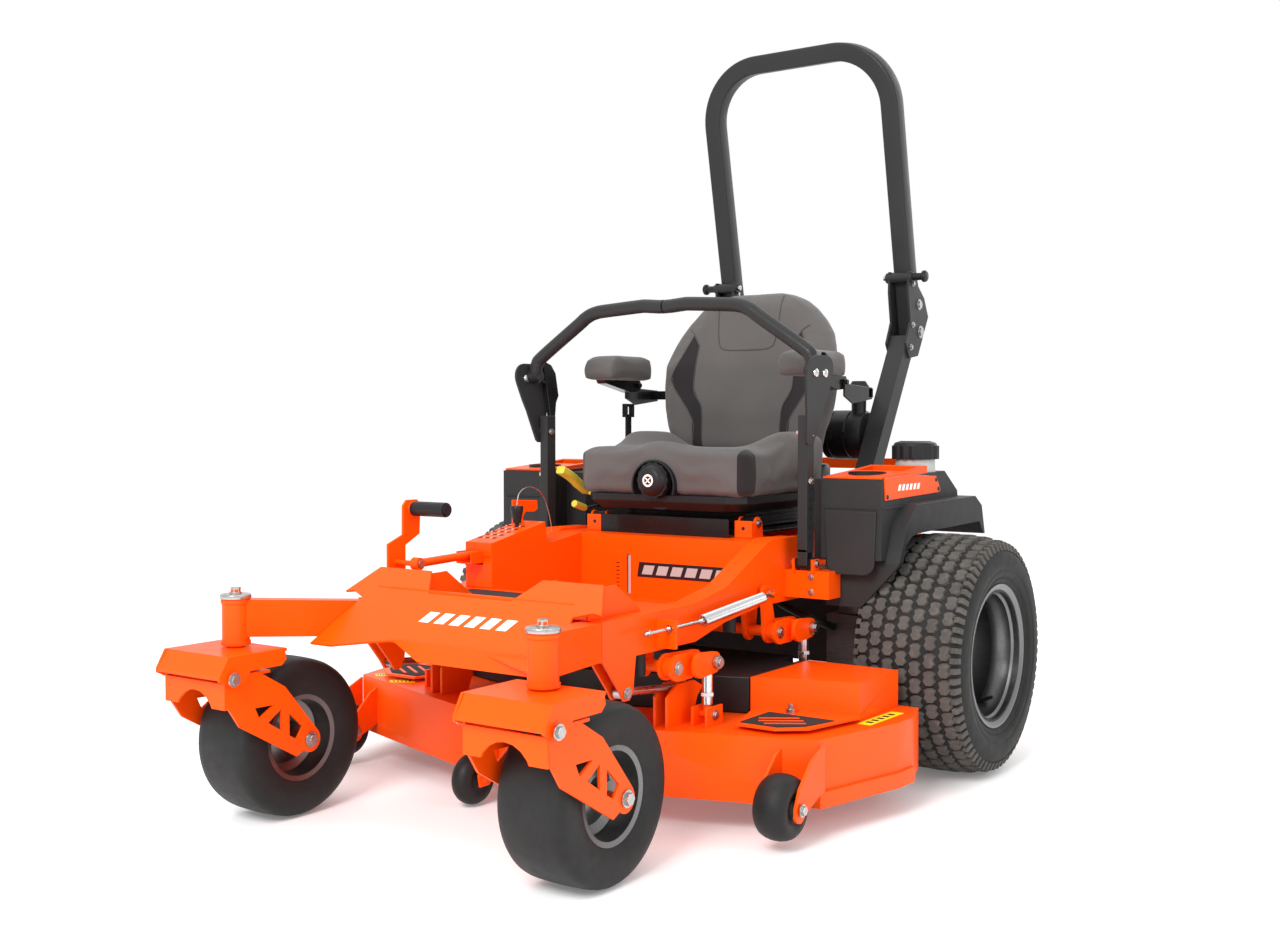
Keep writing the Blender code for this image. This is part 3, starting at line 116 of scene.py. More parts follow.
def smooth_line(points, per_span=6):
    """A Catmull-Rom curve through the points, per_span steps in each span."""
    p = np.asarray(points, float)
    p = np.vstack((2 * p[0] - p[1], p, 2 * p[-1] - p[-2]))
    t = (np.arange(per_span) / per_span)[None, :, None]
    a, b, c, d = (p[i:len(p) - 3 + i][:, None, :] for i in range(4))
    curve = 0.5 * (2 * b + (c - a) * t + (2 * a - 5 * b + 4 * c - d) * t ** 2 + (3 * b - a - 3 * c + d) * t ** 3)
    return np.vstack((curve.reshape(-1, p.shape[1]), p[-2]))


def carried(path, section, up=(0, 0, 1), scale=None):
    """A closed section of (across, high) points carried along a path: point + across * side + high * over.

    side is the tangent crossed with up, and over is side crossed with the tangent. Ends are capped.
    """
    path, section = np.asarray(path, float), np.asarray(section, float)
    way = np.gradient(path, axis=0)
    way /= np.linalg.norm(way, axis=1)[:, None]
    side = np.cross(way, np.asarray(up, float))
    side /= np.linalg.norm(side, axis=1)[:, None]
    over = np.cross(side, way)
    size = np.ones(len(path)) if scale is None else np.asarray(scale, float)
    points = (path[:, None, :] + size[:, None, None] * (section[None, :, :1] * side[:, None, :]
                                                        + section[None, :, 1:] * over[:, None, :]))
    rows, count = len(path), len(section)
    faces = grid_faces(rows, count, wrap_columns=True)
    faces += [tuple(range(count))[::-1], tuple(range((rows - 1) * count, rows * count))]
    return points.reshape(-1, 3), faces


def turned(profile, centre, axis="x", turns=64):
    """A closed profile of (along, radius) points turned about an axis: centre + along + radius * (cos, sin)."""
    profile = np.asarray(profile, float)
    t = np.linspace(0, 2 * np.pi, turns, endpoint=False)
    points = np.zeros((turns, len(profile), 3))
    order = {"x": (0, 1, 2), "y": (1, 2, 0), "z": (2, 0, 1)}[axis]
    points[:, :, order[0]] = profile[None, :, 0]
    points[:, :, order[1]] = profile[None, :, 1] * np.cos(t)[:, None]
    points[:, :, order[2]] = profile[None, :, 1] * np.sin(t)[:, None]
    return points.reshape(-1, 3) + np.asarray(centre, float), grid_faces(turns, len(profile), True, True)


def round_bar(start, end, radius, sides=20, end_radius=None):
    """A straight round bar, or a cone, from start to end."""
    way = np.asarray(end, float) - np.asarray(start, float)
    up = (0, 0, 1) if abs(way[2]) < 0.9 * np.linalg.norm(way) else (0, 1, 0)
    size = (1.0, 1.0 if end_radius is None else end_radius / radius)
    return carried([start, end], arc((0, 0), radius, steps=sides), up, size)


def hexagon(centre, axis, radius=0.009, height=0.006):
    """A hexagon head on its washer, standing out of centre along the axis."""
    centre, way = np.asarray(centre, float), np.asarray(axis, float)
    collar = round_bar(centre, centre + way * height * 0.35, radius * 1.35, 20)
    head = round_bar(centre + way * height * 0.3, centre + way * height, radius, 6)
    return [collar, head]


def coil(start, end, radius, wire, turns, around=14):
    """A close coil: centre + radius * (cos, sin) across the line from start to end, carried round."""
    start, end = np.asarray(start, float), np.asarray(end, float)
    way = (end - start) / np.linalg.norm(end - start)
    side = np.cross(way, (0, 0, 1))
    side /= np.linalg.norm(side)
    over = np.cross(side, way)
    t = np.linspace(0, 2 * np.pi * turns, turns * around + 1)
    out = np.cos(t)[:, None] * side + np.sin(t)[:, None] * over
    path = start + (t / t[-1])[:, None] * (end - start) + radius * out
    s = np.radians(np.arange(0, 360, 72))
    points = path[:, None, :] + wire * (np.cos(s)[None, :, None] * out[:, None, :] + np.sin(s)[None, :, None] * way)
    rows = len(path)
    faces = grid_faces(rows, 5, wrap_columns=True) + [tuple(range(5))[::-1], tuple(range((rows - 1) * 5, rows * 5))]
    return points.reshape(-1, 3), faces


def mirrored(shape):
    """The shape reflected in x, with its faces turned round again."""
    points, faces = shape
    return points * (-1, 1, 1), [f[::-1] for f in faces]


def sided(shapes, side):
    """The shapes as they are for the left, or reflected for the right."""
    return [shape if side > 0 else mirrored(shape) for shape in shapes]


def piece(name, shapes, body, finish, replaces=(), bevel=0.0, angle=35.0, steps=2):
    """One mesh object from the shapes, facing outwards, bevelled if asked, riding on its body."""
    start, points, faces = 0, [], []
    for shape_points, shape_faces in shapes:
        points.append(shape_points)
        faces += [tuple(i + start for i in face) for face in shape_faces]
        start += len(shape_points)
    mesh = bpy.data.meshes.new(name)
    mesh.from_pydata(np.vstack(points).tolist(), [], faces)
    bm = bmesh.new()
    bm.from_mesh(mesh)
    bmesh.ops.recalc_face_normals(bm, faces=bm.faces)
    bm.to_mesh(mesh)
    bm.free()
    return finished(name, mesh, body, finish, replaces, bevel, angle, steps)


def finished(name, mesh, body, finish, replaces=(), bevel=0.0, angle=35.0, steps=2):
    """The mesh as an object with its finish, its rounding and its parent body."""
    mesh.materials.clear()
    mesh.materials.append(looks()[finish])
    mesh.shade_smooth()
    mesh.set_sharp_from_angle(angle=math.radians(angle))
    made = bpy.data.objects.new(name, mesh)
    bpy.context.scene.collection.objects.link(made)
    if bevel > 0:
        round_edges = made.modifiers.new("rounding", "BEVEL")
        round_edges.width = bevel
        round_edges.segments = steps
        round_edges.limit_method = "ANGLE"
        round_edges.angle_limit = math.radians(angle)
        round_edges.use_clamp_overlap = True
        round_edges.harden_normals = True
    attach(made, body)
    if replaces:
        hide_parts(*replaces)
    return made


def softened(node, finish, width=0.0012, steps=2):
    """A copy of a CAD node with its loose triangles merged and its edges rounded, standing for the node."""
    source = frame["nodes"][node]
    mesh = source.data.copy()
    mesh.name = node + "_skin"
    bm = bmesh.new()
    bm.from_mesh(mesh)
    bmesh.ops.remove_doubles(bm, verts=bm.verts, dist=2e-5)
    bmesh.ops.dissolve_limit(bm, angle_limit=math.radians(0.5), verts=bm.verts, edges=bm.edges)
    bm.to_mesh(mesh)
    bm.free()
    if "custom_normal" in mesh.attributes:
        mesh.attributes.remove(mesh.attributes["custom_normal"])
    return finished(node + "_skin", mesh, source["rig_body"], finish, (node,), width, 32.0, steps)


# ---- finishes -----------------------------------------------------------------------------
class Value:
    """A shader socket that takes part in sums."""

    def __init__(self, look, socket):
        """Keep the socket and the finish that it belongs to."""
        self.look = look
        self.socket = socket

    def _sum(self, operation, a, b):
        """A Math node on two values."""
        return self.look.node("ShaderNodeMath", {"operation": operation}, {0: a, 1: b})

    def __add__(self, other):
        """Sum."""
        return self._sum("ADD", self, other)

    def __radd__(self, other):
        """Sum, from the right."""
        return self._sum("ADD", other, self)

    def __sub__(self, other):
        """Difference."""
        return self._sum("SUBTRACT", self, other)

    def __rsub__(self, other):
        """Difference, from the right."""
        return self._sum("SUBTRACT", other, self)

    def __mul__(self, other):
        """Product."""
        return self._sum("MULTIPLY", self, other)

    def __rmul__(self, other):
        """Product, from the right."""
        return self._sum("MULTIPLY", other, self)

    def __gt__(self, other):
        """1 where this is greater."""
        return self._sum("GREATER_THAN", self, other)

    def __lt__(self, other):
        """1 where this is less."""
        return self._sum("LESS_THAN", self, other)


class Finish:
    """A Principled material, built node by node."""

    def __init__(self, name, **plain):
        """A new material with the plain values of its shader set."""
        self.material = bpy.data.materials.new(name)
        self.material.use_nodes = True
        self.tree = self.material.node_tree
        self.shader = self.tree.nodes["Principled BSDF"]
        for key, value in plain.items():
            self.shader.inputs[key.replace("_", " ")].default_value = value
        self.place = self.node("ShaderNodeTexCoord", {}, {}, "Object")

    def node(self, kind, settings=None, values=None, output=0):
        """A node of a kind, its settings made first, then its sockets' values or links; returns one output."""
        made = self.tree.nodes.new(kind)
        for key, value in (settings or {}).items():
            if key == "stops":
                ramp = made.color_ramp
                for index, (position, colour) in enumerate(value):
                    stop = ramp.elements[index] if index < 2 else ramp.elements.new(position)
                    stop.position, stop.color = position, (*colour, 1.0)
            else:
                setattr(made, key, value)
        for key, value in (values or {}).items():
            socket = made.inputs[key]
            if isinstance(value, Value):
                self.tree.links.new(value.socket, socket)
            else:
                socket.default_value = value
        return Value(self, made.outputs[output])

    def noise(self, scale, detail=2.0, rough=0.5, place=None):
        """Noise between 0 and 1 on the object's own coordinates."""
        return self.node("ShaderNodeTexNoise", {}, {"Vector": place or self.place, "Scale": scale, "Detail": detail,
                                                    "Roughness": rough}, "Fac")

    def ramp(self, factor, stops):
        """Colours spread over a factor."""
        return self.node("ShaderNodeValToRGB", {"stops": stops}, {"Fac": factor}, "Color")

    def between(self, factor, low, high):
        """A number running from low to high with the factor."""
        return low + factor * (high - low)

    def mixed(self, factor, a, b):
        """Two colours mixed by a factor."""
        return self.node("ShaderNodeMix", {"data_type": "RGBA"}, {0: factor, 6: a, 7: b}, 2)

    def height(self, axis=2):
        """The x, y or z of the surface."""
        return self.node("ShaderNodeSeparateXYZ", {}, {0: self.place}, axis)

    def set(self, **links):
        """Link values to the shader's sockets."""
        for key, value in links.items():
            self.tree.links.new(value.socket, self.shader.inputs[key.replace("_", " ")])
        return self

    def bump(self, height, distance, strength=1.0):
        """A bump of that height in metres."""
        self.set(Normal=self.node("ShaderNodeBump", {}, {"Height": height, "Distance": distance,
                                                        "Strength": strength}, "Normal"))
        return self


def tones(colour, spread):
    """A darker, an equal and a lighter stop round a colour."""
    c = np.asarray(colour, float)
    return [(0.30, tuple(c * (1 - spread))), (0.52, tuple(c)), (0.75, tuple(np.minimum(c * (1 + spread), 1.0)))]


def painted(name, colour, rough=0.34, spread=0.05, peel=0.00010, coat=0.07):
    """Powder coat: faint cloudy tone, orange-peel bump, a clear coat and a little dust low down."""
    look = Finish(name, Specular_IOR_Level=0.14, Coat_Roughness=0.12)
    look.shader.inputs["Coat Weight"].default_value = coat
    cloud = look.noise(3.0, 3.0)
    base = look.ramp(cloud, tones(colour, spread))
    low = 1.0 - look.node("ShaderNodeMapRange", {}, {0: look.height(), 1: 0.03, 2: 0.30})
    dust = low * look.noise(28.0, 5.0, 0.7) * 0.16
    look.set(Base_Color=look.mixed(dust, base, (0.20, 0.11, 0.055, 1.0)),
             Roughness=look.between(look.noise(16.0, 4.0), rough - 0.05, rough + 0.10))
    return look.bump(look.noise(420.0, 2.0), peel, 0.35).material


def metal(name, colour, rough=0.28, brush=0.12):
    """Plated or bare steel: brushed streaks in tone and roughness."""
    look = Finish(name, Metallic=1.0)
    stretched = look.node("ShaderNodeMapping", {}, {"Vector": look.place, "Scale": (30.0, 260.0, 260.0)}, 0)
    streak = look.noise(1.0, 3.0, 0.6, stretched)
    look.set(Base_Color=look.ramp(streak, tones(colour, brush)),
             Roughness=look.between(look.noise(60.0, 3.0), rough - 0.06, rough + 0.12))
    return look.bump(streak, 0.00004, 0.3).material


def moulded(name, colour, rough=0.55, grain=0.00018, scale=520.0):
    """Moulded plastic: a fine pebbled grain and a slightly uneven sheen."""
    look = Finish(name, Specular_IOR_Level=0.3)
    cells = look.node("ShaderNodeTexVoronoi", {}, {"Vector": look.place, "Scale": scale}, "Distance")
    look.set(Base_Color=look.ramp(look.noise(9.0, 4.0), tones(colour, 0.14)),
             Roughness=look.between(look.noise(30.0, 4.0), rough - 0.07, rough + 0.09))
    return look.bump(cells, grain, 0.6).material


def rubbery(name, colour, dust=0.0, rough=0.62):
    """Rubber: mottled, with pale dust caught in it and a fine tooth."""
    look = Finish(name, Specular_IOR_Level=0.3)
    base = look.ramp(look.noise(14.0, 5.0, 0.65), tones(colour, 0.25))
    spots = look.node("ShaderNodeMapRange", {}, {0: look.noise(70.0, 6.0, 0.72), 1: 0.50, 2: 0.72})
    look.set(Base_Color=look.mixed(spots * dust, base, (0.17, 0.155, 0.135, 1.0)),
             Roughness=look.between(look.noise(40.0, 4.0), rough - 0.08, rough + 0.16))
    return look.bump(look.noise(330.0, 4.0, 0.6), 0.0004, 0.5).material


def edge_line(look, height, points):
    """A width that follows straight lines between (height, width) points."""
    low, high = points[0][0], points[-1][0]
    up = look.node("ShaderNodeMapRange", {}, {0: height, 1: low, 2: high})
    grey = look.ramp(up, [((z - low) / (high - low), (2 * x, 2 * x, 2 * x)) for z, x in points])
    return grey * 0.5


def back_inserts(look):
    """Where the dark inserts of the back are: between two broken lines, on both sides."""
    x = look.node("ShaderNodeMath", {"operation": "ABSOLUTE"}, {0: look.height(0)})
    z = look.height(2)
    inner = edge_line(look, z, [(0.740, 0.118), (0.862, 0.124), (0.919, 0.152), (1.033, 0.146), (1.060, 0.166)])
    outer = edge_line(look, z, [(0.740, 0.146), (0.834, 0.150), (0.933, 0.218), (0.954, 0.216), (1.060, 0.166)])
    front = look.height(1) < look.between(z, 0.455, 0.565)
    return (x > inner) * (x < outer) * (z < 1.058) * front


def cushion_inserts(look):
    """Where the dark inserts of the cushion are: round its two front corners."""
    x = look.node("ShaderNodeMath", {"operation": "ABSOLUTE"}, {0: look.height(0)})
    return (x > 0.2235) * (look.height(1) < 0.120)


def cloth(name, colour, rough=0.78, sheen=0.15, inserts=None):
    """Heavy vinyl-backed cloth: a fine crossed weave with a speckled tone, and darker where an insert is."""
    look = Finish(name, Specular_IOR_Level=0.3, Sheen_Roughness=0.5)
    look.shader.inputs["Sheen Weight"].default_value = sheen
    warp = look.node("ShaderNodeTexWave", {"bands_direction": "X"}, {"Vector": look.place, "Scale": 210.0,
                                                                     "Distortion": 1.5, "Detail": 1.0}, "Fac")
    weft = look.node("ShaderNodeTexWave", {"bands_direction": "Z"}, {"Vector": look.place, "Scale": 210.0,
                                                                     "Distortion": 1.5, "Detail": 1.0}, "Fac")
    weave = warp * weft
    fleck = look.noise(900.0, 3.0, 0.7)
    tone = look.between(fleck, 0.25, 0.55) + look.noise(6.0, 3.0) * 0.30 + weave * 0.10
    base = look.ramp(tone, tones(colour, 0.30))
    if inserts:
        base = look.mixed(inserts(look), base, look.ramp(tone, tones((0.012, 0.009, 0.010), 0.30)))
    look.set(Base_Color=base, Roughness=look.between(look.noise(25.0, 3.0), rough - 0.06, rough + 0.08))
    return look.bump(weave + fleck * 0.8, 0.00030, 0.55).material


def gritty(name, colour):
    """Grip mat: coarse grit in a tough black binder."""
    look = Finish(name, Specular_IOR_Level=0.4)
    grit = look.node("ShaderNodeTexVoronoi", {}, {"Vector": look.place, "Scale": 420.0}, "Distance")
    look.set(Base_Color=look.ramp(grit, [(0.0, tuple(np.asarray(colour) * 2.6)), (0.35, colour),
                                         (0.8, tuple(np.asarray(colour) * 0.5))]),
             Roughness=look.between(look.noise(90.0), 0.75, 0.95))
    return look.bump(grit, 0.0010, 0.9).material


LOOKS = {}


def looks():
    """Every finish, made once."""
    shown = bpy.context.scene.mower_colours
    if not LOOKS:
        paint = tuple(shown.paint)
        LOOKS.update(
            paint=painted("powder_orange", paint),
            charcoal=painted("powder_charcoal", tuple(shown.tube), 0.42, 0.10, 0.00010, 0.10),
            black_paint=painted("gloss_black", (0.008, 0.008, 0.008), 0.24, 0.10, 0.00008, 0.3),
            pod=moulded("pod_plastic", tuple(shown.pod), 0.58),
            plastic=moulded("black_plastic", (0.010, 0.010, 0.011), 0.42, 0.00010, 700.0),
            tyre=rubbery("smooth_rubber", (0.011, 0.011, 0.011), 0.02, 0.50),
            turf=rubbery("turf_rubber", (0.078, 0.073, 0.067), 0.55, 0.82),
            side_wall=rubbery("side_wall", (0.011, 0.011, 0.0105), 0.05, 0.60),
            zinc=metal("zinc_plate", (0.46, 0.46, 0.45), 0.26, 0.12),
            chrome=metal("bright_plate", (0.60, 0.60, 0.60), 0.18, 0.06),
            rim=metal("rim_steel", (0.19, 0.19, 0.19), 0.32, 0.10),
            # painted shade: a darker copy of the rim steel for the drive dish and barrel, standing for the shade
            # inside the deep rim
            rim_dark=metal("rim_steel_shaded", (0.060, 0.060, 0.060), 0.40, 0.12),
            cast=metal("cast_alloy", (0.13, 0.13, 0.13), 0.52, 0.15),
            vinyl=cloth("seat_cloth", tuple(shown.seat)),
            vinyl_back=cloth("back_cloth", tuple(shown.seat), inserts=back_inserts),
            vinyl_front=cloth("cushion_cloth", tuple(shown.seat), inserts=cushion_inserts),
            thread=cloth("seat_thread", (0.055, 0.050, 0.048), 0.8, 0.1),
            grip=gritty("grip_mat", (0.018, 0.019, 0.020)),
            yellow=moulded("yellow_grip", (0.62, 0.56, 0.06), 0.45, 0.00006),
            label=painted("label_yellow", (0.80, 0.72, 0.02), 0.45, 0.03, 0.00002, 0.0),
            white=painted("mark_white", (0.90, 0.90, 0.88), 0.40, 0.02, 0.00002, 0.1),
            silver_mark=painted("mark_silver", (0.42, 0.42, 0.42), 0.45, 0.03, 0.00002, 0.0),
            # painted shade: dark orange for the shaded insides of the height holes and of the height strip's small
            # holes
            shade=painted("painted_hole_shade", (0.16, 0.012, 0.0), 0.60, 0.10, 0.00002, 0.0),
            tank=moulded("tank_white", (0.40, 0.40, 0.39), 0.40, 0.00006),
        )
    return LOOKS


# ---- sizes and colours a user would change ------------------------------------------------
class MowerColours(bpy.types.PropertyGroup):
    """Colours of the mower's main finishes."""

    paint: bpy.props.FloatVectorProperty(name="Paint", description="Powder coat of the frame and deck",
                                         subtype="COLOR", size=3, min=0, max=1, default=(1.0, 0.085, 0.0))
    tube: bpy.props.FloatVectorProperty(name="Tube", description="Coat of the roll bar and levers",
                                        subtype="COLOR", size=3, min=0, max=1, default=(0.026, 0.026, 0.027))
    pod: bpy.props.FloatVectorProperty(name="Pods", description="Plastic of the side pods",
                                       subtype="COLOR", size=3, min=0, max=1, default=(0.0195, 0.0200, 0.0205))
    seat: bpy.props.FloatVectorProperty(name="Seat", description="Cloth of the seat",
                                        subtype="COLOR", size=3, min=0, max=1, default=(0.086, 0.079, 0.076))


class MowerSizes(bpy.types.PropertyGroup):
    """Sizes of the surfaces that the frame leaves open."""

    rounding: bpy.props.FloatProperty(name="Sheet edge", description="Radius on the edges of plate and sheet",
                                      subtype="DISTANCE", unit="LENGTH", min=0.0003, max=0.004, default=0.0012)
    pod_rounding: bpy.props.FloatProperty(name="Pod edge", description="Radius on the pods' moulded edges",
                                          subtype="DISTANCE", unit="LENGTH", min=0.001, max=0.012, default=0.008)
    lug: bpy.props.FloatProperty(name="Lug height", description="Height of the drive tyres' tread",
                                 subtype="DISTANCE", unit="LENGTH", min=0.002, max=0.012, default=0.0065)
    swell: bpy.props.FloatProperty(name="Padding", description="Furthest the padding may swell",
                                   subtype="DISTANCE", unit="LENGTH", min=0.002, max=0.02, default=0.008)


# ---- stage --------------------------------------------------------------------------------
class MOWER_OT_stage(bpy.types.Operator):
    """Camera, floor and soft studio light"""

    bl_idname = "mower.stage"
    bl_label = "Stage"

    def execute(self, context):
        """Make them."""
        camera = bpy.data.cameras.new("camera")
        camera.sensor_width = 36.0
        camera.lens = 39.67
        camera.clip_start = 0.05
        eye = bpy.data.objects.new("camera", camera)
        eye.location = (1.9274, -2.756, 0.8317)
        eye.rotation_euler = (math.radians(90 - 1.7425), math.radians(0.026), math.radians(34.98))
        context.scene.collection.objects.link(eye)
        context.scene.camera = eye

        floor = bpy.data.meshes.new("floor")
        reach = 40.0
        floor.from_pydata([(-reach, -reach, -0.0006), (reach, -reach, -0.0006), (reach, reach, -0.0006),
                           (-reach, reach, -0.0006)], [], [(0, 1, 2, 3)])
        ground = Finish("floor_white", Roughness=0.9, Emission_Color=(1.0, 1.0, 1.0, 1.0), Emission_Strength=0.13)
        ground.set(Base_Color=ground.ramp(ground.noise(0.6), tones((0.90, 0.90, 0.90), 0.01)))
        floor.materials.append(ground.material)
        slab = bpy.data.objects.new("floor", floor)
        context.scene.collection.objects.link(slab)

        world = bpy.data.worlds.new("studio")
        world.use_nodes = True
        world.node_tree.nodes["Background"].inputs["Color"].default_value = (1.0, 1.0, 1.0, 1.0)
        world.node_tree.nodes["Background"].inputs["Strength"].default_value = 1.0
        context.scene.world = world
        context.scene.view_settings.view_transform = "Standard"
        for name, place, size, power in (("over", (-0.6, 0.6, 4.6), 4.0, 45.0), ("key", (0.8, -4.4, 3.6), 2.0, 215.0),
                                         ("side", (4.4, -0.6, 2.2), 1.6, 26.0), ("rear", (0.5, 4.5, 2.6), 2.4, 40.0)):
            lamp = bpy.data.lights.new(name, "AREA")
            lamp.shape = "SQUARE"
            lamp.size = size
            lamp.energy = power
            light = bpy.data.objects.new(name, lamp)
            light.location = place
            light.rotation_euler = (Vector((0, 0, 0.6)) - Vector(place)).to_track_quat("-Z", "Y").to_euler()
            context.scene.collection.objects.link(light)
        return {"FINISHED"}


# The pin's wire as (y, z) points in its own plane, from the knob down to the selector box.
LANYARD = ((-0.165, 0.6275), (-0.158, 0.652), (-0.140, 0.665), (-0.116, 0.669), (-0.090, 0.663), (-0.070, 0.650),
           (-0.055, 0.630), (-0.040, 0.595), (-0.030, 0.558))


# ---- bodywork -----------------------------------------------------------------------------
class MOWER_OT_bodywork(bpy.types.Operator):
    """Frame, guard, pan, boxes, forks, deck and covers with rounded sheet edges"""

    bl_idname = "mower.bodywork"
    bl_label = "Bodywork"

    def execute(self, context):
        """Make them."""
        edge = context.scene.mower_sizes.rounding
        orange = ["main_frame", "front_guard", "floor_pan", "seat_box", "selector_box", "rear_guard", "foot_pedal",
                  "push_rod", "lift_shaft_front", "lift_shaft_rear", "deck_shell"]
        for _, tag in SIDES:
            orange += ["caster_saddle_" + tag, "caster_yoke_" + tag, "belt_cover_" + tag]
        for node in orange:
            softened(node, "paint", edge)
        softened("roll_bar_base", "charcoal", edge)
        softened("seat_platform", "black_paint", edge)
        softened("seat_base", "plastic", 0.003)
        softened("centre_cover", "plastic", 0.004)
        for _, tag in SIDES:
            softened("lever_pivot_" + tag, "black_paint", 0.0008)
            softened("transaxle_" + tag, "cast", 0.004)
            softened("pod_" + tag, "pod", context.scene.mower_sizes.pod_rounding, 3)
            softened("drag_link_" + tag, "zinc", 0.0006)
        for node in ("blade_left", "blade_centre", "blade_right"):
            softened(node, "cast", 0.0008)
        route = smooth_line([(-0.245, y, z) for y, z in LANYARD], 8)
        wire = piece("lanyard_wire", [carried(route, arc((0, 0), 0.0012, steps=10), (1, 0, 0))],
                     frame["nodes"]["lanyard"]["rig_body"], "zinc", ("lanyard",))
        return {"FINISHED"}


# ---- wheels -------------------------------------------------------------------------------
def tread(centre, lug, rows=7, around=44):
    """Staggered lugs on the crown: each an eight-sided waisted block whose outline (along the tread, across it)
    wraps onto the tyre as angle = along / radius, standing lug high and a little narrower on top."""
    outline = np.array([(-0.0178, -0.0050), (-0.0130, -0.0135), (-0.0025, -0.0105), (0.0060, -0.0150),
                        (0.0170, -0.0070), (0.0165, 0.0065), (0.0065, 0.0145), (-0.0020, 0.0100), (-0.0120, 0.0145),
                        (-0.0180, 0.0060)])
    across = np.linspace(-0.098, 0.098, rows)
    crown = np.interp(np.abs(across), (0.0, 0.045, 0.080, 0.098, 0.115), (0.2800, 0.2790, 0.2745, 0.2700, 0.262))
    row, turn = np.meshgrid(np.arange(rows), np.arange(around), indexing="ij")
    angle = (turn + 0.5 * (row % 2)) * 2 * np.pi / around
    count = len(outline)
    shapes = np.zeros((rows * around, 2, count, 3))
    for level, (drop, shrink) in enumerate(((lug + 0.003, 1.0), (0.0, 0.90))):
        radius = (crown[row] - drop).reshape(-1, 1)
        t = angle.reshape(-1, 1) + outline[None, :, 0] * shrink / radius
        side = across[row].reshape(-1, 1) + outline[None, :, 1] * shrink
        shapes[:, level, :, 0] = side
        shapes[:, level, :, 1] = radius * np.cos(t)
        shapes[:, level, :, 2] = radius * np.sin(t)
    points = shapes.reshape(-1, 3) + np.asarray(centre)
    one = grid_faces(2, count, wrap_columns=True) + [tuple(range(count))[::-1], tuple(range(count, 2 * count))]
    step = 2 * count
    faces = [tuple(i + lump * step for i in face) for lump in range(rows * around) for face in one]
    return points, faces


def shoulder_blocks(centre, side, around=72):
    """Small blocks round the shoulder: boxes on (along, across) set at equal angles."""
    t = np.arange(around) * 2 * np.pi / around
    half = 0.0062
    corners = []
    for radius, a in ((0.2655, 0.110), (0.2655, 0.1215), (0.247, 0.129), (0.247, 0.117)):
        for sign in (-1, 1):
            angle = t + sign * half / radius
            corners.append(np.stack((np.full(around, a * side), radius * np.cos(angle), radius * np.sin(angle)), -1))
    points = np.stack(corners, 1)
    one = [(0, 1, 3, 2), (2, 3, 5, 4), (4, 5, 7, 6), (6, 7, 1, 0), (0, 2, 4, 6), (1, 7, 5, 3)]
    faces = [tuple(i + 8 * n for i in face) for n in range(around) for face in one]
    return points.reshape(-1, 3) + np.asarray(centre), faces


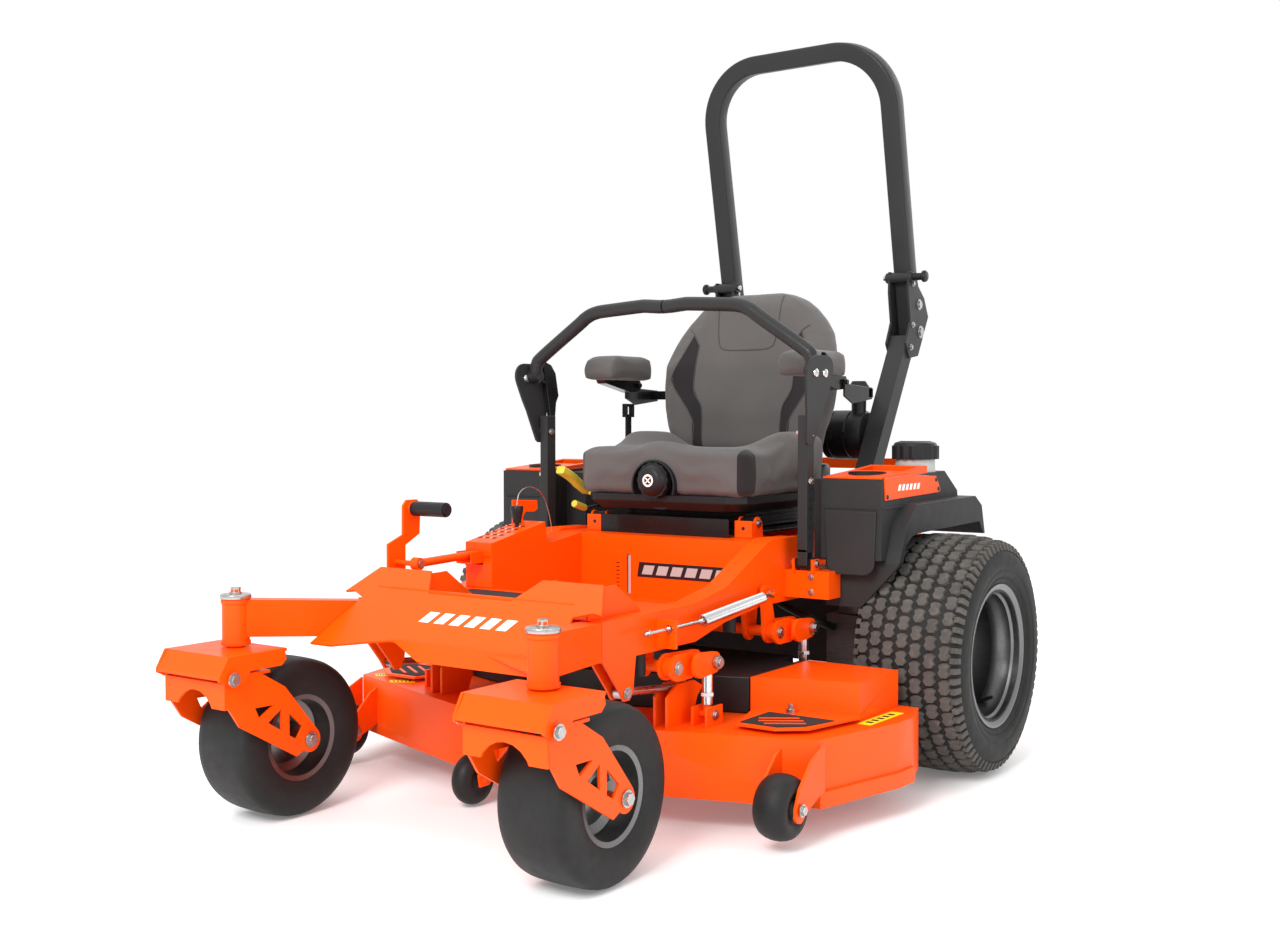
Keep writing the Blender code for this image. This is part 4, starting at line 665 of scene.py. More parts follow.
class MOWER_OT_drive_wheels(bpy.types.Operator):
    """Lugged turf tyres, deep rims, hubs, nuts and valves"""

    bl_idname = "mower.drive_wheels"
    bl_label = "Drive wheels"

    def execute(self, context):
        """Make them."""
        lug = context.scene.mower_sizes.lug
        for side, tag in SIDES:
            low, high = (np.asarray(c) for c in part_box("drive_tyre_" + tag))
            centre = (low + high) / 2
            half = (high[0] - low[0]) / 2
            body = "drive_wheel_" + tag
            wall = [(0.1155, 0.1497), (0.1165, 0.160), (0.119, 0.170), (0.1255, 0.178), (0.1245, 0.184),
                    (0.1285, 0.187), (0.1325, 0.197), (0.1315, 0.203), (0.1335, 0.206), (half, 0.216),
                    (0.1325, 0.232), (0.129, 0.243), (0.1215, 0.252), (0.112, 0.2600), (0.098, 0.2640),
                    (0.080, 0.2680), (0.045, 0.2722), (0.0, 0.2735)]
            profile = wall + [(-a, r) for a, r in wall[::-1][1:]]
            piece("drive_carcass_" + tag, [turned(profile, centre, "x", 120)], body, "side_wall",
                  ("drive_tyre_" + tag,))
            piece("drive_tread_" + tag, [tread(centre, lug), shoulder_blocks(centre, 1),
                                         shoulder_blocks(centre, -1)], body, "turf", angle=50)
            x = centre[0]
            lip = [(0.1215, 0.1675), (0.1195, 0.1690), (0.1155, 0.1690), (0.1155, 0.1495), (0.080, 0.1480),
                   (0.074, 0.1420), (0.050, 0.1400), (0.050, 0.1365), (0.070, 0.1370), (0.078, 0.1425),
                   (0.098, 0.1435), (0.104, 0.1500), (0.114, 0.1515), (0.1205, 0.1600)]
            ring = [turned([(a * side, r) for a, r in lip], centre, "x", 96),
                    turned([(-a * side, r) for a, r in lip], centre, "x", 96)]
            piece("drive_flange_" + tag, ring, body, "rim", ("drive_rim_" + tag,), angle=40)
            # the dish and barrel take the darker rim steel, painted shade for the recess inside the rim
            dish = [(0.052, 0.1395), (-0.060, 0.1370), (-0.112, 0.1440), (-0.112, 0.1400), (-0.060, 0.1330),
                    (-0.016, 0.1330), (-0.012, 0.1000), (-0.020, 0.0600), (-0.040, 0.0500), (-0.040, 0.0162),
                    (0.030, 0.0162), (0.030, 0.0460), (0.010, 0.0540), (-0.004, 0.0640), (-0.002, 0.1000),
                    (0.004, 0.1250), (0.016, 0.1330), (0.052, 0.1362)]
            piece("drive_dish_" + tag, [turned([(a * side, r) for a, r in dish], centre, "x", 96)], body,
                  "rim_dark", angle=40)
            nuts = []
            for t in np.radians(np.arange(0, 360, 72)):
                at = (x, centre[1] + 0.082 * math.cos(t), centre[2] + 0.082 * math.sin(t))
                nuts += hexagon(at, (side, 0, 0), 0.010, 0.018)
            nuts += hexagon((x + side * 0.030, centre[1], centre[2]), (side, 0, 0), 0.017, 0.016)
            piece("drive_nuts_" + tag, nuts, body, "zinc", bevel=0.0006)
            t = math.radians(-65)
            start = np.array((x + side * 0.058, centre[1] + 0.135 * math.cos(t), centre[2] + 0.135 * math.sin(t)))
            valve = [round_bar(start, start + (side * 0.020, -0.010 * math.cos(t), -0.010 * math.sin(t)), 0.0045, 12),
                     round_bar(start + (side * 0.018, -0.009 * math.cos(t), -0.009 * math.sin(t)),
                               start + (side * 0.031, -0.0155 * math.cos(t), -0.0155 * math.sin(t)), 0.0038, 12)]
            piece("drive_valve_" + tag, valve, body, "tyre")
        return {"FINISHED"}


class MOWER_OT_casters(bpy.types.Operator):
    """Smooth front tyres, their rims, dust caps and fork bolts"""

    bl_idname = "mower.casters"
    bl_label = "Casters"

    def execute(self, context):
        """Make them."""
        for side, tag in SIDES:
            low, high = (np.asarray(c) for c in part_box("caster_tyre_" + tag))
            centre = (low + high) / 2
            body = "caster_wheel_" + tag
            half = (high[0] - low[0]) / 2
            wall = [(half - 0.012, 0.0860), (half - 0.0085, 0.0905), (half - 0.0060, 0.0960),
                    (half - 0.0052, 0.1010), (half - 0.0020, 0.1100), (half - 0.0004, 0.1220), (half, 0.1340),
                    (half - 0.0008, 0.1440), (half - 0.0030, 0.1520), (half - 0.0068, 0.1580),
                    (half - 0.0120, 0.1616), (half - 0.0190, 0.1636), (half - 0.0300, 0.1648),
                    (half * 0.30, 0.1657), (0.0, 0.1660)]
            profile = wall + [(-a, r) for a, r in wall[::-1][1:]]
            piece("caster_tread_" + tag, [turned(profile, centre, "x", 96)], body, "tyre",
                  ("caster_tyre_" + tag,), angle=60)
            lip = [(0.0665, 0.0900), (0.0640, 0.0920), (0.0625, 0.0850), (0.040, 0.0810), (-0.040, 0.0810),
                   (-0.0625, 0.0850), (-0.0640, 0.0920), (-0.0665, 0.0900), (-0.0640, 0.0800), (-0.0400, 0.0760),
                   (0.0400, 0.0760), (0.0640, 0.0800)]
            disc = [(0.022, 0.0765), (0.014, 0.0600), (0.020, 0.0430), (0.030, 0.0300), (0.058, 0.0270),
                    (0.058, 0.0086), (-0.058, 0.0086), (-0.058, 0.0270), (0.014, 0.0300), (0.006, 0.0430),
                    (0.004, 0.0600), (0.012, 0.0765)]
            piece("caster_rim_skin_" + tag, [turned(lip, centre, "x", 72), turned(disc, centre, "x", 72)], body,
                  "rim", ("caster_rim_" + tag,), angle=40)
            x, y = side * 0.404, -0.870
            cap = turned([(0.0, 0.0), (0.0, 0.0312), (0.0035, 0.0318), (0.0078, 0.0312), (0.0092, 0.0285),
                          (0.0092, 0.0)], (x, y, 0.4664), "z", 64)
            stem = [round_bar((x, y, 0.4752), (x, y, 0.4795), 0.0125, 24)] + [round_bar((x, y, 0.4790),
                                                                                        (x, y, 0.4890), 0.0105, 6)]
            piece("dust_cap_" + tag, [cap, *stem], "saddle_" + tag, "zinc", bevel=0.0006)
            bolts = []
            for out in (1, -1):
                bolts += hexagon((x + out * 0.1064, -0.962, 0.323), (out, 0, 0), 0.0105, 0.008)
            piece("fork_pivot_bolts_" + tag, bolts, "saddle_" + tag, "zinc", bevel=0.0005)
            bolts = []
            for out in (1, -1):
                bolts += hexagon((x + out * 0.0940, centre[1], centre[2]), (out, 0, 0), 0.0120, 0.0105)
            piece("axle_bolts_" + tag, bolts, "yoke_" + tag, "zinc", bevel=0.0005)
            sleeve = [turned([(-0.004, 0.0281), (-0.004, 0.0300), (0.004, 0.0300), (0.004, 0.0281)], (x, y, z), "z",
                             48) for z in (0.3755, 0.4605)]
            piece("sleeve_collars_" + tag, sleeve, "machine", "paint", bevel=0.0008)
        return {"FINISHED"}


class MOWER_OT_gauge_wheels(bpy.types.Operator):
    """Rounded wheels that keep the deck off the turf"""

    bl_idname = "mower.gauge_wheels"
    bl_label = "Gauge wheels"

    def execute(self, context):
        """Make them."""
        form = [(-0.0355, 0.0068), (-0.0355, 0.0150), (-0.0300, 0.0190), (-0.0300, 0.0300), (-0.0350, 0.0350),
                (-0.0355, 0.0440), (-0.0330, 0.0520), (-0.0270, 0.0580), (-0.0180, 0.0620), (-0.0080, 0.0641),
                (0.0, 0.0645)]
        form += [(-a, r) for a, r in form[::-1][1:]]
        for side, tag in SIDES:
            centre = (side * 0.6025, -0.390, 0.085)
            piece("gauge_wheel_" + tag, [turned(form, centre, "x", 64)], "scalp_wheel_" + tag, "tyre",
                  ("anti_scalp_wheel_" + tag,), angle=50)
            bolts = hexagon((side * 0.6492, -0.390, 0.085), (side, 0, 0), 0.0095, 0.008)
            bolts += hexagon((side * 0.5562, -0.390, 0.085), (-side, 0, 0), 0.0095, 0.007)
            piece("gauge_bolts_" + tag, bolts, "deck", "zinc", bevel=0.0005)
        small = [(a * 0.64, r * 0.86) for a, r in form]
        centre = (-0.100, -0.487, 0.0585)
        piece("gauge_wheel_front", [turned(small, centre, "x", 56)], "deck", "tyre", angle=50)
        arms = [extruded([(-0.443, 0.140), (-0.443, 0.075), (-0.470, 0.045), (-0.500, 0.045), (-0.505, 0.072),
                          (-0.478, 0.110)], "x", x, x + 0.005) for x in (-0.132, -0.073)]
        arms.append(round_bar((-0.137, -0.487, 0.0585), (-0.063, -0.487, 0.0585), 0.0055, 12))
        piece("gauge_fork_front", arms, "deck", "paint", bevel=0.0010)
        return {"FINISHED"}


# ---- seat ---------------------------------------------------------------------------------
def coordinates(mesh):
    """The points of a mesh as rows of x, y and z."""
    points = np.empty(len(mesh.vertices) * 3)
    mesh.vertices.foreach_get("co", points)
    return points.reshape(-1, 3)


def placed(mesh, points):
    """Put a mesh's points at new places."""
    mesh.vertices.foreach_set("co", points.ravel())
    mesh.update()


def relaxed(mesh, rounds):
    """Ease a skin: every point goes half way to the mean of its neighbours, as many times as asked."""
    points = coordinates(mesh)
    ends = np.empty(len(mesh.edges) * 2, np.int32)
    mesh.edges.foreach_get("vertices", ends)
    first, second = ends.reshape(-1, 2).T
    neighbours = np.maximum(np.bincount(ends, minlength=len(points)), 1)[:, None]
    for _ in range(rounds):
        total = np.zeros_like(points)
        np.add.at(total, first, points[second])
        np.add.at(total, second, points[first])
        points += 0.5 * (total / neighbours - points)
    placed(mesh, points)


def swollen(made, cap, voxel):
    """Air in a closed skin: remesh, let cloth pressure push it out, and hold every point within cap of its start."""
    context = bpy.context
    remesh = made.modifiers.new("voxels", "REMESH")
    remesh.mode = "VOXEL"
    remesh.voxel_size = voxel
    context.view_layer.update()
    graph = context.evaluated_depsgraph_get()
    mesh = bpy.data.meshes.new_from_object(made.evaluated_get(graph))
    made.modifiers.clear()
    made.data = mesh
    start = coordinates(mesh)
    air = made.modifiers.new("air", "CLOTH")
    air.settings.use_pressure = True
    air.settings.uniform_pressure_force = 4.0
    air.settings.effector_weights.gravity = 0.0
    air.settings.quality = 4
    air.settings.tension_stiffness = air.settings.compression_stiffness = 12.0
    air.point_cache.frame_start, air.point_cache.frame_end = 1, 20
    for step in range(1, 21):
        context.scene.frame_set(step)
    graph = context.evaluated_depsgraph_get()
    moved = coordinates(bpy.data.meshes.new_from_object(made.evaluated_get(graph))) - start
    made.modifiers.clear()
    context.scene.frame_set(1)
    length = np.linalg.norm(moved, axis=1, keepdims=True)
    placed(mesh, start + moved * np.minimum(1.0, cap / np.maximum(length, 1e-9)))
    return made


def padded_form(name, shapes, body, finish, replaces, cap, voxel=0.006, inset=0.004):
    """A cushion from a closed form: shrunk by inset, swollen, eased, covered in its cloth and subdivided once."""
    made = piece(name, shapes, body, finish, replaces)
    made.modifiers.clear()
    outward = np.empty(len(made.data.vertices) * 3)
    made.data.vertex_normals.foreach_get("vector", outward)
    placed(made.data, coordinates(made.data) - outward.reshape(-1, 3) * inset)
    swollen(made, cap, voxel)
    return upholstered(made, finish, 4)


def upholstered(made, finish, rounds):
    """Finish a swollen skin: eased, covered in its cloth and subdivided once."""
    relaxed(made.data, rounds)
    made.data.materials.clear()
    made.data.materials.append(looks()[finish])
    made.data.shade_smooth()
    finer = made.modifiers.new("finer", "SUBSURF")
    finer.levels = finer.render_levels = 1
    return made


def cushion_form(front, rear, half, low, high):
    """The cushion's skin as a grid (u across, v front to rear) of a top and a bottom sheet with a rolled edge.

    The top is high + side rise * smoothstep(|x|) * smoothstep(y) + a crown over the knob at the front.
    """
    u = np.linspace(-1, 1, 61)
    v = np.linspace(0, 1, 61)
    uu, vv = np.meshgrid(u, v, indexing="ij")
    power = 9.0
    reach = (np.abs(2 * vv - 1) ** power + np.abs(uu) ** power) ** (1 / power)
    square = np.maximum(np.abs(uu), np.abs(2 * vv - 1))
    pull = np.where(reach > 1e-6, square / np.maximum(reach, 1e-6), 1.0)
    x = uu * half * pull
    y = (front + rear) / 2 + (2 * vv - 1) * pull * (rear - front) / 2
    ramp = lambda t: np.clip(t, 0, 1) ** 2 * (3 - 2 * np.clip(t, 0, 1))
    edge = ramp((1 - square) / 0.10)
    side = ramp((np.abs(x) - 0.125) / 0.085) * ramp((y - front - 0.11) / 0.15) * ramp((rear - 0.005 - y) / 0.05)
    crown = 0.016 * np.exp(-(x / 0.075) ** 2) * ramp((front + 0.11 - y) / 0.09)
    dish = -0.012 * np.exp(-(x / 0.14) ** 2) * ramp((y - front - 0.10) / 0.15)
    top = high - 0.006 + 0.040 * side + crown + dish
    top_z = low + (top - low) * (0.945 + 0.055 * edge ** 0.5)
    low_z = low + (1 - edge) * 0.004
    upper = np.stack((x, y, top_z), -1).reshape(-1, 3)
    lower = np.stack((x, y, low_z), -1).reshape(-1, 3)
    return closed_sheets(upper, lower, 61, 61)


def back_width(z):
    """Half the back's width at a height."""
    return np.interp(z, (0.712, 0.762, 0.815, 0.860, 0.920, 0.985, 1.030, 1.062, 1.100, 1.135, 1.158, 1.173, 1.182),
                     (0.205, 0.230, 0.248, 0.260, 0.267, 0.265, 0.253, 0.240, 0.214, 0.180, 0.148, 0.112, 0.070))


def back_form(foot, lean, thick):
    """The back's skin on (u across, v up): a slab that leans by lean * rise, with its sides carried forward by a
    wing of |u|^2.5 below the shoulders, a belly of 1 - u^2 low down, and its edges rolled round."""
    u = np.linspace(-1, 1, 57)
    v = np.linspace(0, 1, 57)
    uu, vv = np.meshgrid(u, v, indexing="ij")
    z = foot[1] + (1.182 - foot[1]) * vv
    x = uu * back_width(z)
    wing = 0.046 * np.abs(uu) ** 2.5 * np.interp(z, (0.75, 0.80, 0.98, 1.06, 1.12), (0.7, 1.0, 1.0, 0.35, 0.0))
    belly = 0.010 * (1 - uu ** 2) * np.interp(z, (0.75, 0.85, 0.98, 1.10), (0.5, 1.0, 0.5, 0.0))
    edge = np.clip(np.minimum(1 - np.abs(uu), np.minimum(vv, 1 - vv) * 1.6) / 0.15, 0, 1)
    roll = np.sqrt(np.clip(1 - (1 - edge) ** 2, 0, 1))
    middle = foot[0] + lean * (z - foot[1]) + thick * 0.5 - wing
    front = np.stack((x, middle - (thick * 0.5 + belly) * roll, z), -1).reshape(-1, 3)
    rear = np.stack((x, middle + wing * 0.35 + thick * 0.5 * roll, z), -1).reshape(-1, 3)
    return closed_sheets(front, rear, 57, 57)


def closed_sheets(top, base, rows, columns):
    """Two sheets of the same grid, closed round their rims into one skin."""
    count = rows * columns
    faces = grid_faces(rows, columns)
    rim = ([i * columns for i in range(rows)] + [(rows - 1) * columns + j for j in range(1, columns)]
           + [i * columns + columns - 1 for i in range(rows - 2, -1, -1)] + [j for j in range(columns - 2, 0, -1)])
    band = [(rim[i], rim[(i + 1) % len(rim)], rim[(i + 1) % len(rim)] + count, rim[i] + count)
            for i in range(len(rim))]
    return np.vstack((top, base)), faces + [tuple(i + count for i in f)[::-1] for f in faces] + band


def draped(points, target, way, lift):
    """Points moved along way until they meet the target's surface, then lifted off it."""
    graph = bpy.context.evaluated_depsgraph_get()
    body = target.evaluated_get(graph)
    way = Vector(way)
    out = []
    for point in points:
        start = Vector(point) - way * 0.2
        hit, place, _, _ = body.ray_cast(start, way, distance=0.5)
        out.append(place - way * lift if hit else Vector(point))
    return np.array([tuple(p) for p in out])


def seam(target, line, way, radius=0.0016):
    """A stitched seam: a thin cord laid on the target along a line."""
    path = draped(smooth_line(line, 8), target, way, radius * 0.2)
    return carried(path, arc((0, 0), radius, steps=8), (0.2, 0.9, 0.3) if abs(way[1]) > 0.5 else (0.1, 0.2, 1.0))


class MOWER_OT_seat(bpy.types.Operator):
    """Padded cushion, back and armrests with their inserts and seams"""

    bl_idname = "mower.seat"
    bl_label = "Seat"

    def execute(self, context):
        """Make them."""
        cap = context.scene.mower_sizes.swell
        low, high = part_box("seat_cushion")
        front, rear, half = low[1], high[1], high[0]
        cushion = padded_form("cushion_pad", [cushion_form(front, rear, half, low[2], 0.765)], "seat",
                              "vinyl_front", ("seat_cushion",), cap, inset=0.002)
        hollow(cushion, [round_bar((0, front - 0.03, 0.672), (0, front + 0.036, 0.672), 0.060, 40),
                         box((-0.058, front - 0.03, 0.60), (0.058, front + 0.036, 0.672))])
        back = padded_form("back_pad", [back_form((0.4676, 0.712), 0.11, 0.092)], "seat", "vinyl_back",
                           ("seat_back",), cap)
        for side, tag in SIDES:
            x0, x1 = sorted((side * 0.246, side * 0.338))
            y0, y1, z0, z1 = 0.220, 0.410, 0.940, 0.998
            section = [(y0 + 0.004, z0), (y1 - 0.002, z0), (y1, z0 + 0.03), (y1 - 0.006, z1 - 0.006), (y1 - 0.03, z1),
                       (y0 + 0.035, z1), (y0 + 0.012, z1 - 0.010), (y0, z1 - 0.028), (y0, z0 + 0.012)]
            pad = piece("arm_pad_" + tag, [extruded(section, "x", x0, x1)], "arm_" + tag, "vinyl",
                        ("armrest_" + tag,), bevel=0.0)
            swollen_pad(pad, 0.003)
            under = extruded([(0.262, 0.9398), (0.270, 0.928), (0.386, 0.905)]
                             + arc((0.415, 0.925), 0.0178, -90, 60, 8) + [(0.402, 0.9398)], "x", side * 0.299,
                             side * 0.329)
            piece("arm_bracket_" + tag, [under], "arm_" + tag, "black_paint", bevel=0.0012)
            carrier = extruded([(0.405, 0.890), (0.405, 0.932), (0.420, 0.932), (0.430, 0.920), (0.560, 0.914),
                                (0.560, 0.884), (0.450, 0.872)], "x", side * 0.3305, side * 0.3360)
            stub = round_bar((side * 0.288, 0.415, 0.925), (side * 0.340, 0.415, 0.925), 0.0065, 16)
            bridge = box((min(side * 0.270, side * 0.336), 0.540, 0.888),
                         (max(side * 0.270, side * 0.336), 0.566, 0.912))
            piece("arm_carrier_" + tag, [carrier, stub, bridge], "seat", "black_paint", bevel=0.0010)
        faced = (0.0, 1.0, 0.0)
        seams = []
        for side in (1, -1):
            for line in ([(0.146, 1.033), (0.152, 0.919), (0.124, 0.862), (0.119, 0.775)],
                         [(0.166, 1.060), (0.216, 0.954), (0.218, 0.933), (0.150, 0.834), (0.146, 0.775)],
                         [(0.148, 1.035), (0.158, 1.052), (0.170, 1.068), (0.184, 1.078)],
                         [(0.092, 1.160), (0.094, 1.110), (0.086, 1.040), (0.066, 1.020), (0.0, 1.017)]):
                seams.append(seam(back, [(side * x, 0.5, z) for x, z in line], faced))
        piece("back_seams", seams, "seat", "thread")
        arch = [(0.0605 * math.cos(a), front + 0.012, 0.672 + 0.0605 * math.sin(a))
                for a in np.linspace(-0.35, math.pi + 0.35, 40)]
        liner = carried(arch, [(-0.0022, -0.016), (0.0022, -0.016), (0.0022, 0.016), (-0.0022, 0.016)], (0, 1, 0))
        backing = round_bar((0, front + 0.030, 0.672), (0, front + 0.035, 0.672), 0.060, 40)
        piece("knob_well", [liner, backing], "seat", "plastic", bevel=0.0005)
        knob_z = 0.685
        t = np.linspace(0, 2 * math.pi, 112, endpoint=False)
        ribs = 0.0435 + 0.0012 * np.cos(14 * t)
        ring = np.stack((ribs * np.cos(t), knob_z + ribs * np.sin(t)), -1)
        skirt = extruded(ring, "y", front - 0.006, front + 0.014)
        face = turned([(front - 0.024, 0.0), (front - 0.024, 0.026), (front - 0.021, 0.031), (front - 0.0058, 0.0385),
                       (front - 0.0058, 0.0)], (0, 0, knob_z), "y", 56)
        piece("weight_dial", [skirt, face], "knob", "plastic", ("seat_knob",), bevel=0.0008)
        bezel = [turned([(front - 0.0248, 0.0105), (front - 0.0248, 0.0150), (front - 0.0242, 0.0152),
                         (front - 0.0242, 0.0103)], (0, 0, knob_z), "y", 48)]
        for turn in (45, 135):
            c, s = math.cos(math.radians(turn)) * 0.0085, math.sin(math.radians(turn)) * 0.0085
            bezel.append(round_bar((-c, front - 0.0246, knob_z - s), (c, front - 0.0246, knob_z + s), 0.0016, 8))
        piece("dial_mark", bezel, "knob", "white")
        grips = [carried(smooth_line([(-0.282, 0.160, 0.648), (-0.282, 0.130, 0.664), (-0.282, 0.090, 0.688),
                                      (-0.282, 0.050, 0.705)], 4),
                         [(-0.013, -0.006), (-0.010, -0.010), (0.010, -0.010), (0.013, -0.006), (0.013, 0.006),
                          (0.010, 0.010), (-0.010, 0.010), (-0.013, 0.006)], (0, 0, 1)),
                 round_bar((-0.236, 0.165, 0.634), (-0.282, 0.158, 0.646), 0.006, 12)]
        piece("slide_grip", grips, "slide_handle", "yellow", ("slide_lever",), bevel=0.0015)
        small = [round_bar((-0.262, 0.080, 0.619), (-0.262, 0.128, 0.605), 0.0095, 14, 0.0085)]
        piece("tilt_grip", small, "seat", "yellow", bevel=0.0030)
        piece("tilt_wire", [round_bar((-0.262, 0.126, 0.6055), (-0.205, 0.180, 0.6190), 0.0035, 10)], "seat",
              "black_paint")
        buckle = [box((-0.268, 0.312, 0.655), (-0.262, 0.334, 0.842)),
                  box((-0.272, 0.304, 0.838), (-0.258, 0.342, 0.846)),
                  box((-0.272, 0.304, 0.846), (-0.258, 0.312, 0.868)),
                  box((-0.272, 0.334, 0.846), (-0.258, 0.342, 0.868)),
                  box((-0.272, 0.304, 0.866), (-0.258, 0.342, 0.874)),
                  box((-0.268, 0.312, 0.650), (-0.225, 0.334, 0.656))]
        piece("belt_buckle", buckle, "seat", "black_paint", bevel=0.0012)
        folds = []
        for n in range(4):
            z = 0.5685 + n * 0.0105
            folds.append(extruded([(-0.176, 0.198), (0.176, 0.198), (0.176, 0.476), (-0.176, 0.476)], "z", z,
                                  z + 0.0055))
        piece("seat_bellows", folds, "seat", "plastic", bevel=0.0020)
        return {"FINISHED"}


def hollow(made, cutters):
    """Take shapes out of a finished mesh."""
    tools = []
    for index, (points, faces) in enumerate(cutters):
        mesh = bpy.data.meshes.new("cutter")
        mesh.from_pydata(points.tolist(), [], faces)
        bm = bmesh.new()
        bm.from_mesh(mesh)
        bmesh.ops.recalc_face_normals(bm, faces=bm.faces)
        bm.to_mesh(mesh)
        bm.free()
        tool = bpy.data.objects.new("cutter", mesh)
        bpy.context.scene.collection.objects.link(tool)
        step = made.modifiers.new("cut%d" % index, "BOOLEAN")
        step.operation, step.object, step.solver = "DIFFERENCE", tool, "EXACT"
        tools.append(tool)
    bpy.context.view_layer.update()
    graph = bpy.context.evaluated_depsgraph_get()
    mesh = bpy.data.meshes.new_from_object(made.evaluated_get(graph))
    made.modifiers.clear()
    made.data = mesh
    for tool in tools:
        bpy.data.objects.remove(tool, do_unlink=True)
    mesh.shade_smooth()
    mesh.set_sharp_from_angle(angle=math.radians(45))
    return made


def swollen_pad(made, cap):
    """A small pad: swollen, eased and covered."""
    made.modifiers.clear()
    swollen(made, cap, 0.004)
    upholstered(made, "vinyl", 6)


# ---- controls -----------------------------------------------------------------------------
class MOWER_OT_controls(bpy.types.Operator):
    """Steering levers, foot peg, height pin and its numbered holes"""

    bl_idname = "mower.controls"
    bl_label = "Controls"

    def execute(self, context):
        """Make them."""
        x, y = 0.3795, 0.122
        for side, tag in SIDES:
            body = "lever_" + tag
            fork = [box((x - 0.0125, y - 0.0175, 0.495), (x + 0.0125, y - 0.0125, 0.535)),
                    box((x - 0.0125, y + 0.0125, 0.495), (x + 0.0125, y + 0.0175, 0.535)),
                    box((x - 0.0125, y - 0.0175, 0.525), (x + 0.0125, y + 0.0175, 0.842))]
            low, high = np.array((x + 0.0155, 0, 0.775)), np.array((x + 0.0505, 0, 0.985))
            way = (high - low) / np.linalg.norm(high - low)
            out = np.array((way[2], 0, -way[0]))
            face = ([(0.092, 0.004), (0.100, -0.002), (0.118, -0.002), (0.126, 0.004), (0.150, 0.080), (0.163, 0.118)]
                    + arc((0.128, 0.165), 0.040, -10, 88, 9) + arc((0.083, 0.165), 0.040, 92, 200, 9)
                    + [(0.058, 0.110), (0.070, 0.080)])
            face = np.asarray(face)
            rings = [low + face[:, 1:] * way + d * out + np.column_stack((0 * face[:, 0], face[:, 0], 0 * face[:, 0]))
                     for d in (-0.003, 0.003)]
            count = len(face)
            plate = (np.vstack(rings), grid_faces(2, count, wrap_columns=True)
                     + [tuple(range(count))[::-1], tuple(range(count, 2 * count))])
            piece("lever_post_" + tag, sided(fork, side), body, "charcoal",
                  ("control_lever_" + tag,), bevel=0.0025)
            piece("lever_plate_" + tag, sided([plate], side), body, "charcoal", bevel=0.0008)
            grip_y = 0.105
            bends = [(x + 0.030, 0.940), (x + 0.0275, 0.957), (x + 0.021, 0.976), (x + 0.004, 0.994),
                     (0.262, 1.0745), (0.246, 1.086), (0.226, 1.096), (0.205, 1.1015), (0.180, 1.104),
                     (0.075, 1.1105), (0.055, 1.1105), (0.036, 1.109), (0.018, 1.1075), (0.002, 1.107)]
            path = smooth_line([(a, grip_y, b) for a, b in bends], 5)
            tube = carried(path, arc((0, 0), 0.0168, steps=28), (0, 1, 0))
            boss = round_bar((x + 0.012, grip_y, 0.948), (x + 0.046, grip_y, 0.942), 0.017, 24)
            back_ring = [low + np.array((0, a, 0)) + way * b + out * d for d in (-0.021, -0.009)
                         for a, b in ((0.130, 0.020), (0.146, 0.020), (0.172, 0.100), (0.186, 0.118), (0.186, 0.178),
                                      (0.172, 0.200), (0.140, 0.212), (0.140, 0.060))]
            channel = (np.array(back_ring), grid_faces(2, 8, wrap_columns=True)
                       + [tuple(range(8))[::-1], tuple(range(8, 16))])
            piece("lever_channel_" + tag, sided([channel], side), body, "black_paint", bevel=0.0012)
            piece("lever_grip_" + tag, sided([tube, boss], side), body, "charcoal", bevel=0.0010, angle=50)
            screws = []
            for at_y, along in ((0.083, 0.165), (0.128, 0.165)):
                place = low + way * along + np.array((0, at_y, 0)) + out * 0.003
                screws.append(turned([(0, 0.0), (0, 0.0105), (0.003, 0.0095), (0.005, 0.0055), (0.0056, 0.0)],
                                     place, "x", 24))
                screws.append(turned([(0, 0.0), (0, 0.0105), (-0.003, 0.0095), (-0.005, 0.0055), (-0.0056, 0.0)],
                                     place - out * 0.006, "x", 24))
            for z, at in ((0.800, 0.014), (0.690, 0.0135), (0.806, 0.0135)):
                screws += hexagon((x + at, y - 0.004, z), (1, 0, 0), 0.0065, 0.008)
            screws += hexagon((x - 0.0128, y - 0.004, 0.800), (-1, 0, 0), 0.0065, 0.008)
            piece("lever_screws_" + tag, sided(screws, side), body, "chrome", bevel=0.0004)
            # each hole is a thin black disc on the post's side: painted shade standing for the hole's dark inside
            holes = [turned([(0, 0.0), (0, 0.0042), (0.0005, 0.0042), (0.0005, 0.0)], (x + 0.0125, y - 0.002, z),
                            "x", 16) for z in np.arange(0.560, 0.680, 0.022)]
            piece("lever_holes_" + tag, sided(holes, side), body, "plastic")
            pivot = hexagon((x + 0.0275, y, 0.500), (1, 0, 0), 0.007, 0.006) + hexagon((x - 0.0275, y, 0.500),
                                                                                       (-1, 0, 0), 0.007, 0.006)
            piece("lever_pivot_bolts_" + tag, sided(pivot, side), "machine", "zinc", bevel=0.0004)

